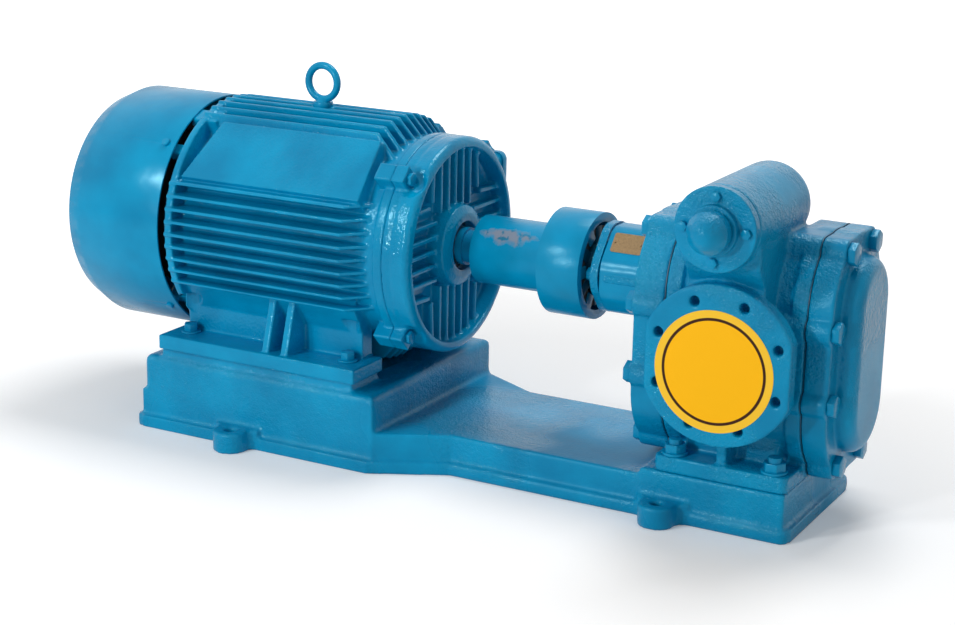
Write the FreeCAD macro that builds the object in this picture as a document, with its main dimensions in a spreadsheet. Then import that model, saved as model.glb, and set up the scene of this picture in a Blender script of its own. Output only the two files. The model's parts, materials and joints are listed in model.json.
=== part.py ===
"""Gear pump set: a cast base carries a finned motor, a claw coupling and a flanged gear pump."""
import FreeCAD, Part
import math
import os

import Sketcher
from FreeCAD import Placement, Rotation, Vector

doc = FreeCAD.newDocument("gear_pump_set")
sheet = doc.addObject("Spreadsheet::Sheet", "Sizes")
aliases = []
nodes = {}


class Size:
    """A length that holds its number and the sheet expression that drives it."""

    def __init__(self, value, text):
        self.value = float(value)
        self.text = text

    def __float__(self):
        return self.value

    def __add__(self, other):
        return Size(self.value + float(other), "(%s + %s)" % (self.text, text_of(other)))

    def __radd__(self, other):
        return Size(float(other) + self.value, "(%s + %s)" % (text_of(other), self.text))

    def __sub__(self, other):
        return Size(self.value - float(other), "(%s - %s)" % (self.text, text_of(other)))

    def __rsub__(self, other):
        return Size(float(other) - self.value, "(%s - %s)" % (text_of(other), self.text))

    def __mul__(self, other):
        return Size(self.value * float(other), "(%s * %s)" % (self.text, text_of(other)))

    def __rmul__(self, other):
        return Size(float(other) * self.value, "(%s * %s)" % (text_of(other), self.text))

    def __truediv__(self, other):
        return Size(self.value / float(other), "(%s / %s)" % (self.text, text_of(other)))

    def __neg__(self):
        return Size(-self.value, "(-1 * %s)" % self.text)


def text_of(amount):
    """The expression text of a size or a plain number."""
    if isinstance(amount, Size):
        return amount.text
    return "%.6f" % float(amount)


def size(name, number):
    """Write one driving dimension into the sheet and return it as a Size."""
    aliases.append(name)
    row = len(aliases)
    sheet.set("A%d" % row, name)
    sheet.set("B%d" % row, "%g" % number)
    sheet.setAlias("B%d" % row, name)
    return Size(number, "Sizes." + name)


def sine(degrees):
    """Sine of an angle in degrees, as a plain number."""
    return math.sin(math.radians(float(degrees)))


def cosine(degrees):
    """Cosine of an angle in degrees, as a plain number."""
    return math.cos(math.radians(float(degrees)))


# Driving dimensions in millimetres. X runs along the shafts from motor to pump,
# zero is the centre plane of the ports, the shaft axis lies over Y zero and Z zero is the floor.
shaft_height = size("shaft_height", 306)
running_gap = size("running_gap", 0.05)
seat_gap = size("seat_gap", 0.1)
thread_gap = size("thread_gap", 0.1)
clear_gap = size("clear_gap", 0.3)

# Cast base
base_pump_end = size("base_pump_end", 102)
base_motor_end = size("base_motor_end", 928)
base_deck_height = size("base_deck_height", 58)
base_pump_half = size("base_pump_half", 131)
base_motor_half = size("base_motor_half", 186)
base_waist_start = size("base_waist_start", 512)
base_waist_end = size("base_waist_end", 408)
base_wall = size("base_wall", 14)
base_roof = size("base_roof", 16)
base_corner = size("base_corner", 16)
lip_height = size("lip_height", 18)
lip_overhang = size("lip_overhang", 9)
pedestal_height = size("pedestal_height", 112)
pedestal_far_end = size("pedestal_far_end", 914)
pedestal_rounding = size("pedestal_rounding", 9)
pedestal_near_end = size("pedestal_near_end", 508)
motor_pad_rise = size("motor_pad_rise", 14)
motor_pad_setback = size("motor_pad_setback", 8)
pump_pad_rise = size("pump_pad_rise", 10)
pump_pad_overhang = size("pump_pad_overhang", 20)
anchor_ear_radius = size("anchor_ear_radius", 26)
anchor_ear_flare = size("anchor_ear_flare", 12)
anchor_ear_height = size("anchor_ear_height", 31)
anchor_hole_radius = size("anchor_hole_radius", 9)
anchor_motor_place = size("anchor_motor_place", 739)
anchor_pump_place = size("anchor_pump_place", 78)
anchor_overhang = size("anchor_overhang", 14)

# Motor frame
foot_hole_near = size("foot_hole_near", 573)
foot_hole_pitch = size("foot_hole_pitch", 279)
foot_hole_half = size("foot_hole_half", 139.5)
foot_length = size("foot_length", 345)
foot_half_width = size("foot_half_width", 177.5)
foot_inner_half = size("foot_inner_half", 96)
foot_thickness = size("foot_thickness", 22)
barrel_radius = size("barrel_radius", 152)
end_rim_width = size("end_rim_width", 12)
barrel_bore = size("barrel_bore", 140)
barrel_near_end = size("barrel_near_end", 506)
barrel_length = size("barrel_length", 362)
fin_tip_radius = size("fin_tip_radius", 183)
fin_pitch = size("fin_pitch", 18.75)
fin_thickness = size("fin_thickness", 5)
fin_sweep = size("fin_sweep", 34)
fin_end_margin = size("fin_end_margin", 22)
label_pad_half = size("label_pad_half", 52)
label_pad_reach = size("label_pad_reach", 172)
label_pad_start = size("label_pad_start", 16)
label_pad_slant = size("label_pad_slant", 26)
eye_place = size("eye_place", 705)
eye_boss_radius = size("eye_boss_radius", 17)
eye_boss_height = size("eye_boss_height", 180)

foot_bolt_radius = size("foot_bolt_radius", 6)
foot_bolt_flats = size("foot_bolt_flats", 19)
foot_washer_radius = size("foot_washer_radius", 15)
foot_washer_thickness = size("foot_washer_thickness", 2.5)
leg_wall = size("leg_wall", 28)
leg_rib_thickness = size("leg_rib_thickness", 12)

# End shields and their bolts
shield_rim_radius = size("shield_rim_radius", 159)
shield_depth = size("shield_depth", 43)
shield_web = size("shield_web", 16)
shield_face_radius = size("shield_face_radius", 143)
shield_mouth_radius = size("shield_mouth_radius", 125)
shield_boss_radius = size("shield_boss_radius", 61)
shield_boss_crown = size("shield_boss_crown", 47)
shield_spigot = size("shield_spigot", 8)
shield_rib_width = size("shield_rib_width", 6)
shield_rib_pitch = size("shield_rib_pitch", 21)
shield_rib_rise = size("shield_rib_rise", 15)
shield_lug_radius = size("shield_lug_radius", 14)
shield_lug_place = size("shield_lug_place", 163)
shield_bolt_radius = size("shield_bolt_radius", 5)
shield_bolt_flats = size("shield_bolt_flats", 17)
fan_shield_depth = size("fan_shield_depth", 36)

# Motor inside
stator_length = size("stator_length", 230)
stator_bore = size("stator_bore", 98)
air_gap = size("air_gap", 0.5)
winding_overhang = size("winding_overhang", 42)
bearing_outer = size("bearing_outer", 50)
bearing_bore = size("bearing_bore", 27.5)
bearing_width = size("bearing_width", 29)
rotor_seat_radius = size("rotor_seat_radius", 33)
motor_shaft_radius = size("motor_shaft_radius", 24)
motor_shaft_shoulder = size("motor_shaft_shoulder", 452)
motor_shaft_reach = size("motor_shaft_reach", 110)
fan_seat_radius = size("fan_seat_radius", 20)

# Fan and cowl
cowl_radius = size("cowl_radius", 180)
cowl_wall = size("cowl_wall", 2.5)
cowl_mouth = size("cowl_mouth", 881)
cowl_end = size("cowl_end", 1068)
cowl_end_radius = size("cowl_end_radius", 150)
cowl_bevel = size("cowl_bevel", 40)
grille_slot_width = size("grille_slot_width", 9)
grille_slot_inner = size("grille_slot_inner", 42)
grille_slot_outer = size("grille_slot_outer", 132)
cowl_screw_radius = size("cowl_screw_radius", 3)
fan_radius = size("fan_radius", 158)
fan_depth = size("fan_depth", 52)
fan_place = size("fan_place", 934)

# Lifting eye
eye_ring_radius = size("eye_ring_radius", 25)
eye_ring_wire = size("eye_ring_wire", 5.5)
eye_collar_radius = size("eye_collar_radius", 15)

# Terminal box
box_near_end = size("box_near_end", 545)
box_length = size("box_length", 145)
box_top = size("box_top", 388)
box_height = size("box_height", 105)
box_inner_face = size("box_inner_face", 184)
box_outer_face = size("box_outer_face", 273)
box_wall = size("box_wall", 6)
lid_thickness = size("lid_thickness", 12)
inlet_radius = size("inlet_radius", 9)

# Coupling
hub_radius = size("hub_radius", 50)
hub_far_end = size("hub_far_end", 425)
cup_far_face = size("cup_far_face", 305)
cup_near_face = size("cup_near_face", 240.5)
cup_radius = size("cup_radius", 76)
cup_recess_radius = size("cup_recess_radius", 63)
cup_recess_depth = size("cup_recess_depth", 44)
claw_inner_radius = size("claw_inner_radius", 43)
claw_width = size("claw_width", 17)
claw_count = size("claw_count", 6)
pump_hub_radius = size("pump_hub_radius", 34)
pump_claw_radius = size("pump_claw_radius", 57)

# Pump
gear_module = size("gear_module", 8)
gear_teeth = size("gear_teeth", 17)
gear_face = size("gear_face", 102)
gear_side_gap = size("gear_side_gap", 0.15)
gear_tip_gap = size("gear_tip_gap", 0.15)
journal_radius = size("journal_radius", 25)
bush_wall = size("bush_wall", 5)
pump_shaft_end_radius = size("pump_shaft_end_radius", 19)
casing_half_length = size("casing_half_length", 99)
casing_wall = size("casing_wall", 17)
casing_rim = size("casing_rim", 22)
casing_rim_depth = size("casing_rim_depth", 22)
gasket_thickness = size("gasket_thickness", 1)
front_cover_depth = size("front_cover_depth", 45)
rear_cover_depth = size("rear_cover_depth", 34)
cap_radius = size("cap_radius", 67)
cap_rise = size("cap_rise", 26)
cap_rounding = size("cap_rounding", 20)
cover_bolt_radius = size("cover_bolt_radius", 8)
cover_bolt_flats = size("cover_bolt_flats", 24)
cover_bolt_wall = size("cover_bolt_wall", 5.5)
cover_lug_radius = size("cover_lug_radius", 19)
cover_lug_length = size("cover_lug_length", 42)
pump_foot_top = size("pump_foot_top", 91)
pump_foot_half = size("pump_foot_half", 125)
pump_foot_length = size("pump_foot_length", 190)
pump_stud_place = size("pump_stud_place", 71)
pump_stud_half = size("pump_stud_half", 107)
pump_stud_radius = size("pump_stud_radius", 9)

# Ports
port_bore = size("port_bore", 50)
port_bore_depth = size("port_bore_depth", 60)
port_passage = size("port_passage", 42)
port_neck_radius = size("port_neck_radius", 68)
port_flange_radius = size("port_flange_radius", 110)
port_flange_half = size("port_flange_half", 101)
port_flange_depth = size("port_flange_depth", 24)
port_face = size("port_face", 156)
port_circle = size("port_circle", 180)
port_hole_radius = size("port_hole_radius", 7)
port_hole_count = size("port_hole_count", 8)
port_rib_width = size("port_rib_width", 14)

# Neck, packing and gland
neck_radius = size("neck_radius", 46)
neck_end = size("neck_end", 208)
packing_outer = size("packing_outer", 34)
packing_depth = size("packing_depth", 52)
packing_ring_width = size("packing_ring_width", 10)
gland_flange_depth = size("gland_flange_depth", 12)
gland_stud_place = size("gland_stud_place", 50)
gland_stud_radius = size("gland_stud_radius", 5)
gland_standoff = size("gland_standoff", 8)

# Relief valve
valve_axis_height = size("valve_axis_height", 426)
valve_radius = size("valve_radius", 56)
valve_mouth = size("valve_mouth", 170)
valve_far_end = size("valve_far_end", 36)
valve_rounding = size("valve_rounding", 26)
valve_web_slope = size("valve_web_slope", 10)
valve_chamber_radius = size("valve_chamber_radius", 32)
valve_seat_bore = size("valve_seat_bore", 16)
valve_seat_place = size("valve_seat_place", 24)
valve_seat_depth = size("valve_seat_depth", 10)
valve_cover_depth = size("valve_cover_depth", 15)
valve_bolt_circle = size("valve_bolt_circle", 43)
valve_bolt_radius = size("valve_bolt_radius", 4)
valve_bolt_flats = size("valve_bolt_flats", 15)
valve_ring_radius = size("valve_ring_radius", 33)
valve_ring_rise = size("valve_ring_rise", 10)
valve_cap_radius = size("valve_cap_radius", 25)
valve_cap_length = size("valve_cap_length", 38)
valve_cap_wall = size("valve_cap_wall", 6)
adjuster_radius = size("adjuster_radius", 8)
spring_wire = size("spring_wire", 2.5)
spring_radius = size("spring_radius", 19)
spring_length = size("spring_length", 58)
spring_turns = size("spring_turns", 6)


# Smaller sizes of the pieces above
eye_collar_height = size("eye_collar_height", 8)
eye_thread_radius = size("eye_thread_radius", 6)
eye_thread_length = size("eye_thread_length", 24)
cowl_screw_place = size("cowl_screw_place", 898)
box_corner = size("box_corner", 12)
lid_screw_radius = size("lid_screw_radius", 2.5)
gland_thread_radius = size("gland_thread_radius", 16)
gland_flats = size("gland_flats", 38)
gland_hex_height = size("gland_hex_height", 14)
gland_length = size("gland_length", 28)
motor_key_start = size("motor_key_start", 348)
motor_key_length = size("motor_key_length", 72)
motor_key_width = size("motor_key_width", 14)
pump_key_length = size("pump_key_length", 32)
pump_key_width = size("pump_key_width", 10)
pump_hub_reach = size("pump_hub_reach", 8)
spider_ring_depth = size("spider_ring_depth", 7)
gear_key_length = size("gear_key_length", 80)
gear_key_width = size("gear_key_width", 12)
tooth_backlash = size("tooth_backlash", 0.4)
packing_shaft_radius = size("packing_shaft_radius", 22)
gland_ear_depth = size("gland_ear_depth", 18)
gland_nut_height = size("gland_nut_height", 8)
pump_stud_depth = size("pump_stud_depth", 22)
pump_stud_show = size("pump_stud_show", 7)
pump_nut_height = size("pump_nut_height", 15)
relief_core_width = size("relief_core_width", 20)
relief_core_wall = size("relief_core_wall", 9)
poppet_radius = size("poppet_radius", 24)
poppet_depth = size("poppet_depth", 9)
spring_plate_depth = size("spring_plate_depth", 6)
adjuster_show = size("adjuster_show", 20)
lock_nut_height = size("lock_nut_height", 10)
valve_bolt_depth = size("valve_bolt_depth", 20)
doc.recompute()

pressure_angle = 20
packing_ring_count = 4
cowl_screw_angles = (44, 136, 224, 316)
shield_lug_angles = (45, 135, 225, 315)
fan_lug_angles = (66, 114, 246, 294)

# Sizes that follow from the driving ones
gear_centres = gear_module * gear_teeth
gear_tip_radius = gear_module * (gear_teeth + 2) / 2
lower_height = shaft_height - gear_centres
port_height = shaft_height - gear_centres / 2
casing_bore = gear_tip_radius + gear_tip_gap
casing_radius = casing_bore + casing_wall
casing_rim_radius = casing_bore + casing_rim
cover_bolt_place = casing_bore + cover_bolt_wall + cover_bolt_radius
pump_seat_height = base_deck_height + pump_pad_rise
motor_seat_height = pedestal_height + motor_pad_rise
pedestal_half = base_motor_half - lip_overhang
foot_top = motor_seat_height + foot_thickness
foot_near_end = foot_hole_near - (foot_length - foot_hole_pitch) / 2
foot_far_end = foot_near_end + foot_length
foot_hole_far = foot_hole_near + foot_hole_pitch
barrel_far_end = barrel_near_end + barrel_length
barrel_middle = barrel_near_end + barrel_length / 2
end_rim_radius = fin_tip_radius - 3
shield_face = barrel_near_end - shield_depth
fan_shield_face = barrel_far_end + fan_shield_depth
motor_shaft_end = motor_shaft_shoulder - motor_shaft_reach
cup_recess_floor = cup_near_face + cup_recess_depth
front_face = casing_half_length + gasket_thickness
front_outer = front_face + front_cover_depth
rear_outer = front_face + rear_cover_depth
block_depth = casing_half_length - gear_face / 2 - gear_side_gap
packing_floor = neck_end - packing_depth
gland_outer = neck_end + gland_standoff + gland_flange_depth
cover_bolt_angles = (60, 120, -12, 192)
bolt_head_share = 0.64


def bind(thing, prop, amount):
    """Tie one property to its expression."""
    thing.setExpression(prop, text_of(amount))


TURN_TO = {
    "x": Rotation(Vector(0, 1, 0), 90),
    "y": Rotation(Vector(1, 0, 0), -90),
    "z": Rotation(),
}


def place(thing, at, turn=Rotation()):
    """Put a thing at a point whose three coordinates follow the sheet."""
    thing.Placement = Placement(Vector(*[float(amount) for amount in at]), turn)
    for letter, amount in zip("xyz", at):
        bind(thing, "Placement.Base." + letter, amount)


def rod(name, axis, radius, start, end, across):
    """A cylinder along one axis, between two planes, at the two other coordinates."""
    cylinder = doc.addObject("Part::Cylinder", name)
    bind(cylinder, "Radius", radius)
    bind(cylinder, "Height", end - start)
    at = {"x": (start, *across), "y": (across[0], start, across[1]), "z": (*across, start)}[axis]
    place(cylinder, at, TURN_TO[axis])
    return cylinder


def block(name, low, high):
    """A box between its lowest and its highest corner."""
    box = doc.addObject("Part::Box", name)
    for prop, start, end in zip(("Length", "Width", "Height"), low, high):
        bind(box, prop, end - start)
    place(box, low)
    return box


def fused(name, pieces):
    """One object made of several that touch or overlap."""
    union = doc.addObject("Part::MultiFuse", name)
    union.Shapes = pieces
    union.Refine = True
    return union


def cut(name, base, tools):
    """A base with the given tools taken out of it."""
    tool = tools[0]
    if len(tools) > 1:
        tool = doc.addObject("Part::MultiFuse", name + "_tools")
        tool.Shapes = tools
    result = doc.addObject("Part::Cut", name)
    result.Base = base
    result.Tool = tool
    result.Refine = True
    return result


def common(name, first, second):
    """What two objects share."""
    result = doc.addObject("Part::Common", name)
    result.Base = first
    result.Tool = second
    return result


def new_body(name, at=(0, 0, 0), turn=Rotation()):
    """A body for sketched features."""
    body = doc.addObject("PartDesign::Body", name)
    place(body, at, turn)
    return body


def new_sketch(body, name, plane, offset=0, lift=0):
    """A sketch on one origin plane, moved along its normal and along its own vertical."""
    sketch = body.newObject("Sketcher::SketchObject", name)
    support = [feature for feature in body.Origin.OriginFeatures if feature.Role == plane][0]
    sketch.AttachmentSupport = (support, [""])
    sketch.MapMode = "FlatFace"
    bind(sketch, "AttachmentOffset.Base.y", lift)
    bind(sketch, "AttachmentOffset.Base.z", offset)
    return sketch


def hold_point(sketch, index, point, x, y):
    """Tie one point of a sketch edge to its two coordinates."""
    for kind, amount in (("DistanceX", x), ("DistanceY", y)):
        number = sketch.addConstraint(Sketcher.Constraint(kind, -1, 1, index, point, float(amount)))
        if isinstance(amount, Size):
            sketch.setExpression("Constraints[%d]" % number, amount.text)


def arc_between(start, end, radius, side):
    """An arc from start to end that bulges to the left (side 1) or the right (side -1)."""
    middle = (start + end) * 0.5
    chord = end - start
    left = Vector(-chord.y, chord.x, 0).normalize()
    half = chord.Length / 2
    depth = math.sqrt(max(radius * radius - half * half, 0))
    centre = middle - left * (side * depth)
    circle = Part.Circle(centre, Vector(0, 0, 1), radius)
    first, last = (end, start) if side > 0 else (start, end)
    return Part.ArcOfCircle(circle, circle.parameter(first), circle.parameter(last))


def hold_arc(sketch, index, corner, following):
    """Tie an arc to its radius, or a half circle to the middle of its chord."""
    run = float(following[0]) - float(corner[0])
    rise = float(following[1]) - float(corner[1])
    if math.hypot(run, rise) < 2 * float(corner[2]) - 0.001:
        number = sketch.addConstraint(Sketcher.Constraint("Radius", index, float(corner[2])))
        if isinstance(corner[2], Size):
            sketch.setExpression("Constraints[%d]" % number, corner[2].text)
        return
    kind, place_in = ("DistanceY", 1) if abs(run) > abs(rise) else ("DistanceX", 0)
    middle = (corner[place_in] + following[place_in]) / 2
    number = sketch.addConstraint(Sketcher.Constraint(kind, -1, 1, index, 3, float(middle)))
    if isinstance(middle, Size):
        sketch.setExpression("Constraints[%d]" % number, middle.text)


def outline(sketch, corners):
    """A closed outline; a corner of four values starts an arc of that radius and side."""
    count = len(corners)
    base = sketch.GeometryCount
    points = [Vector(float(corner[0]), float(corner[1]), 0) for corner in corners]
    ends = []
    for index, corner in enumerate(corners):
        start = points[index]
        end = points[(index + 1) % count]
        if len(corner) == 4:
            sketch.addGeometry(arc_between(start, end, float(corner[2]), corner[3]), False)
            ends.append((2, 1) if corner[3] > 0 else (1, 2))
        else:
            sketch.addGeometry(Part.LineSegment(start, end), False)
            ends.append((1, 2))
    for index, corner in enumerate(corners):
        after = (index + 1) % count
        joint = ("Coincident", base + index, ends[index][1], base + after, ends[after][0])
        sketch.addConstraint(Sketcher.Constraint(*joint))
        hold_point(sketch, base + index, ends[index][0], corner[0], corner[1])
        if len(corner) == 4:
            hold_arc(sketch, base + index, corner, corners[after])


def circle(sketch, x, y, radius):
    """One circle whose centre and radius follow the sheet."""
    index = sketch.addGeometry(Part.Circle(Vector(float(x), float(y), 0), Vector(0, 0, 1), float(radius)), False)
    hold_point(sketch, index, 3, x, y)
    number = sketch.addConstraint(Sketcher.Constraint("Radius", index, float(radius)))
    if isinstance(radius, Size):
        sketch.setExpression("Constraints[%d]" % number, radius.text)


def pad(body, sketch, name, length, middle=False, back=False):
    """Material along the sketch's normal."""
    feature = body.newObject("PartDesign::Pad", name)
    feature.Profile = sketch
    feature.Midplane = middle
    feature.Reversed = back
    bind(feature, "Length", length)
    return feature


def pocket(body, sketch, name, length, middle=False, back=False):
    """A cut against the sketch's normal, or along it when back is set."""
    feature = body.newObject("PartDesign::Pocket", name)
    feature.Profile = sketch
    feature.Midplane = middle
    feature.Reversed = back
    bind(feature, "Length", length)
    return feature


def revolved(body, sketch, name, axis="H_Axis", groove=False):
    """Material, or a groove, turned about one of the sketch's own axes."""
    kind = "PartDesign::Groove" if groove else "PartDesign::Revolution"
    feature = body.newObject(kind, name)
    feature.Profile = sketch
    feature.ReferenceAxis = (sketch, [axis])
    feature.Angle = 360
    return feature


def turned(name, corners, height=shaft_height, axis="x"):
    """A piece turned about an axis along X (or Y) from its outline of places and radii."""
    plane = {"x": "XZ_Plane", "y": "YZ_Plane"}[axis]
    body = new_body(name, (0, 0, height))
    sketch = new_sketch(body, name + "_profile", plane)
    outline(sketch, corners)
    revolved(body, sketch, name + "_turn")
    return body


def plate(name, plane, corners, start, depth, back=False, middle=False):
    """A flat outline given a thickness from one plane."""
    body = new_body(name)
    sketch = new_sketch(body, name + "_outline", plane, start)
    outline(sketch, corners)
    pad(body, sketch, name + "_pad", depth, middle=middle, back=back)
    return body


def polar(body, feature, name, axis, count):
    """A full circle of copies of one feature."""
    pattern = body.newObject("PartDesign::PolarPattern", name)
    pattern.Originals = [feature]
    pattern.Axis = axis
    pattern.Angle = 360
    bind(pattern, "Occurrences", count)
    body.Tip = pattern
    return pattern


def rounded(body, feature, name, radius, wanted):
    """A fillet on the edges that a test picks."""
    doc.recompute()
    edges = enumerate(feature.Shape.Edges)
    chosen = ["Edge%d" % (index + 1) for index, edge in edges if wanted(edge)]
    fillet = body.newObject("PartDesign::Fillet", name)
    fillet.Base = (feature, chosen)
    bind(fillet, "Radius", radius)
    return fillet


def node(thing, name):
    """Keep a finished piece under its own name."""
    thing.Label = name
    nodes[name] = thing
    return thing


def copies(name, master, placements):
    """Separate copies of one master piece as a group of solids."""
    doc.recompute()
    group = doc.addObject("Part::Feature", name)
    solids = []
    for placement in placements:
        solid = master.Shape.copy()
        solid.Placement = placement.multiply(master.Placement)
        solids.append(solid)
    group.Shape = Part.makeCompound(solids)
    return node(group, name)


def facing(axis, sign):
    """The turn that points a piece's own +Z along an axis."""
    target = {"x": Vector(1, 0, 0), "y": Vector(0, 1, 0), "z": Vector(0, 0, 1)}[axis] * sign
    return Rotation(Vector(0, 0, 1), target)


def hexagon(name, flats, height, start):
    """A hexagonal prism measured across its flats."""
    prism = doc.addObject("Part::Prism", name)
    prism.Polygon = 6
    bind(prism, "Circumradius", flats / math.sqrt(3))
    bind(prism, "Height", height)
    place(prism, (0, 0, start))
    return prism


def hex_bolt(name, radius, flats, length):
    """A hexagon bolt: the head stands on Z zero and the shank goes down."""
    head = hexagon(name + "_head", flats, radius * 2 * bolt_head_share, 0)
    shank = rod(name + "_shank", "z", radius, -length, 0, (0, 0))
    return fused(name, [head, shank])


def polar_places(angles, radius, height=shaft_height):
    """Points (y, z) on a circle about a shaft line, one for each angle from the +Y side."""
    return [(radius * cosine(angle), height + radius * sine(angle)) for angle in angles]


def cover_bolt_points():
    """The bolt points (y, z) that both covers share: four about each gear's centre."""
    upper = polar_places(cover_bolt_angles, cover_bolt_place, shaft_height)
    lower = polar_places([-angle for angle in cover_bolt_angles], cover_bolt_place, lower_height)
    return upper + lower


def obround(sketch, radius, low=lower_height, high=shaft_height):
    """Two half circles about the gear centres, joined by straight sides."""
    outline(sketch, [
        (radius, low),
        (radius, high, radius, -1),
        (-radius, high),
        (-radius, low, radius, -1),
    ])



def base_outline(inset=0):
    """The base seen from above: wide under the motor, narrowed by straight flanks to the pump."""
    end = base_pump_end - inset
    start = base_motor_end - inset
    narrow = base_pump_half - inset
    wide = base_motor_half - inset
    return [
        (-start, -wide),
        (-base_waist_start, -wide),
        (-base_waist_end, -narrow),
        (end, -narrow),
        (end, narrow),
        (-base_waist_end, narrow),
        (-base_waist_start, wide),
        (-start, wide),
    ]


def ear_outline(place_x, half, side):
    """An anchor ear seen from above: a round lobe that flares into the lip."""
    reach = side * (half + anchor_overhang)
    root = side * (half - base_wall / 2)
    knee = side * (half + anchor_ear_flare)
    radius = anchor_ear_radius
    foot = radius + anchor_ear_flare
    return [
        (-place_x - foot, root),
        (-place_x - foot, side * half, anchor_ear_flare, -side),
        (-place_x - radius, knee),
        (-place_x - radius, reach, radius, side),
        (-place_x + radius, reach),
        (-place_x + radius, knee, anchor_ear_flare, -side),
        (-place_x + foot, side * half),
        (-place_x + foot, root),
    ]


def make_base():
    """The hollow cast base with its pedestal, pads, anchor ears and ribs."""
    body = new_body("base")
    lip = new_sketch(body, "lip_plan", "XY_Plane")
    outline(lip, base_outline())
    pad(body, lip, "lip", lip_height)
    walls = new_sketch(body, "deck_plan", "XY_Plane")
    outline(walls, base_outline(lip_overhang))
    pad(body, walls, "deck", base_deck_height)
    seat = new_sketch(body, "pump_pad_plan", "XY_Plane")
    outline(seat, rectangle(
        -pump_foot_length / 2 - pump_pad_overhang, base_pump_end - lip_overhang, -pump_foot_half, pump_foot_half))
    pad(body, seat, "pump_pad", pump_seat_height)
    upper = new_sketch(body, "pedestal_plan", "XY_Plane")
    outline(upper, rectangle(-pedestal_far_end, -pedestal_near_end, -pedestal_half, pedestal_half))
    pedestal = pad(body, upper, "pedestal", pedestal_height)
    rounded(body, pedestal, "pedestal_rim", pedestal_rounding, pedestal_top_edge)
    for side in (-1, 1):
        pads = new_sketch(body, "motor_pad_plan_%d" % (side + 1), "XY_Plane")
        inner = side * foot_inner_half
        outer = side * (foot_half_width - motor_pad_setback)
        low, high = (outer, inner) if side < 0 else (inner, outer)
        outline(pads, rectangle(-foot_far_end, -foot_near_end - motor_pad_setback, low, high))
        pad(body, pads, "motor_pad_%d" % (side + 1), motor_seat_height)
    for place_x, half in ((anchor_motor_place, base_motor_half), (anchor_pump_place, base_pump_half)):
        for side in (-1, 1):
            ear_name = "ear_%d_%d" % (round(float(place_x)), side + 1)
            ear = new_sketch(body, ear_name + "_plan", "XY_Plane")
            outline(ear, ear_outline(place_x, half, side))
            pad(body, ear, ear_name, anchor_ear_height)
    hollow = new_sketch(body, "hollow_plan", "XY_Plane")
    outline(hollow, base_outline(base_wall + lip_overhang))
    pocket(body, hollow, "hollow", base_deck_height - base_roof, back=True)
    well = new_sketch(body, "well_plan", "XY_Plane")
    outline(well, rectangle(
        -pedestal_far_end + base_wall, -pedestal_near_end - base_wall,
        -pedestal_half + base_wall, pedestal_half - base_wall))
    pocket(body, well, "well", pedestal_height - base_roof, back=True)
    ribs = new_sketch(body, "rib_plan", "XY_Plane")
    half_rib = base_wall / 2
    for number, middle in enumerate((-anchor_motor_place, -base_waist_start, 0 * base_wall)):
        reach = base_motor_half if number < 2 else base_pump_half
        rib_end = reach - lip_overhang - base_wall / 2
        outline(ribs, rectangle(middle - half_rib, middle + half_rib, -rib_end, rib_end))
    pad(body, ribs, "ribs", base_deck_height - base_roof / 2)
    holes = new_sketch(body, "anchor_plan", "XY_Plane")
    for place_x, half in ((anchor_motor_place, base_motor_half), (anchor_pump_place, base_pump_half)):
        for side in (-1, 1):
            circle(holes, -place_x, side * (half + anchor_overhang), anchor_hole_radius)
    pocket(body, holes, "anchor_holes", anchor_ear_height, back=True)
    tapped = new_sketch(body, "tapped_plan", "XY_Plane", motor_seat_height)
    for place_x in (foot_hole_near, foot_hole_far):
        for side in (-1, 1):
            circle(tapped, -place_x, side * foot_hole_half, foot_bolt_radius + thread_gap)
    pocket(body, tapped, "foot_bolt_holes", base_roof + motor_pad_rise - 2)
    studs = new_sketch(body, "stud_plan", "XY_Plane", pump_seat_height)
    for place_x in (-pump_stud_place, pump_stud_place):
        for side in (-1, 1):
            circle(studs, place_x, side * pump_stud_half, pump_stud_radius + thread_gap)
    pocket(body, studs, "pump_stud_holes", base_roof + pump_pad_rise - 2)
    rounded(body, body.Tip, "soft_corners", base_corner, base_soft_edge)
    node(body, "base_plate")


def upright(edge):
    """Whether an edge stands straight up."""
    if len(edge.Vertexes) != 2:
        return False
    first, second = [vertex.Point for vertex in edge.Vertexes]
    return abs(first.x - second.x) < 0.01 and abs(first.y - second.y) < 0.01


def at_corner(edge, place_x, half):
    """Whether an edge stands over one plan corner of the base, on either side."""
    point = edge.Vertexes[0].Point
    return abs(point.x + float(place_x)) < 0.01 and abs(abs(point.y) - float(half)) < 0.01


def pedestal_top_edge(edge):
    """Picks the rim of the pedestal's top and its upright corners."""
    points = [vertex.Point for vertex in edge.Vertexes]
    if all(abs(point.z - float(pedestal_height)) < 0.01 for point in points):
        return True
    corners = ((pedestal_far_end, pedestal_half), (pedestal_near_end, pedestal_half))
    over_deck = min(point.z for point in points) > float(base_deck_height) - 0.01
    return upright(edge) and over_deck and any(at_corner(edge, *corner) for corner in corners)


def base_soft_edge(edge):
    """Picks the outer upright corners of the lip."""
    corners = ((base_motor_end, base_motor_half), (-base_pump_end, base_pump_half))
    return upright(edge) and any(at_corner(edge, *corner) for corner in corners)


def rectangle(x_low, x_high, y_low, y_high):
    """The four corners of a rectangle."""
    return [(x_low, y_low), (x_high, y_low), (x_high, y_high), (x_low, y_high)]



def mirrored(corners, side):
    """An outline on the +Y side, or its mirror image."""
    return [(side * corner[0], corner[1]) for corner in corners]


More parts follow.
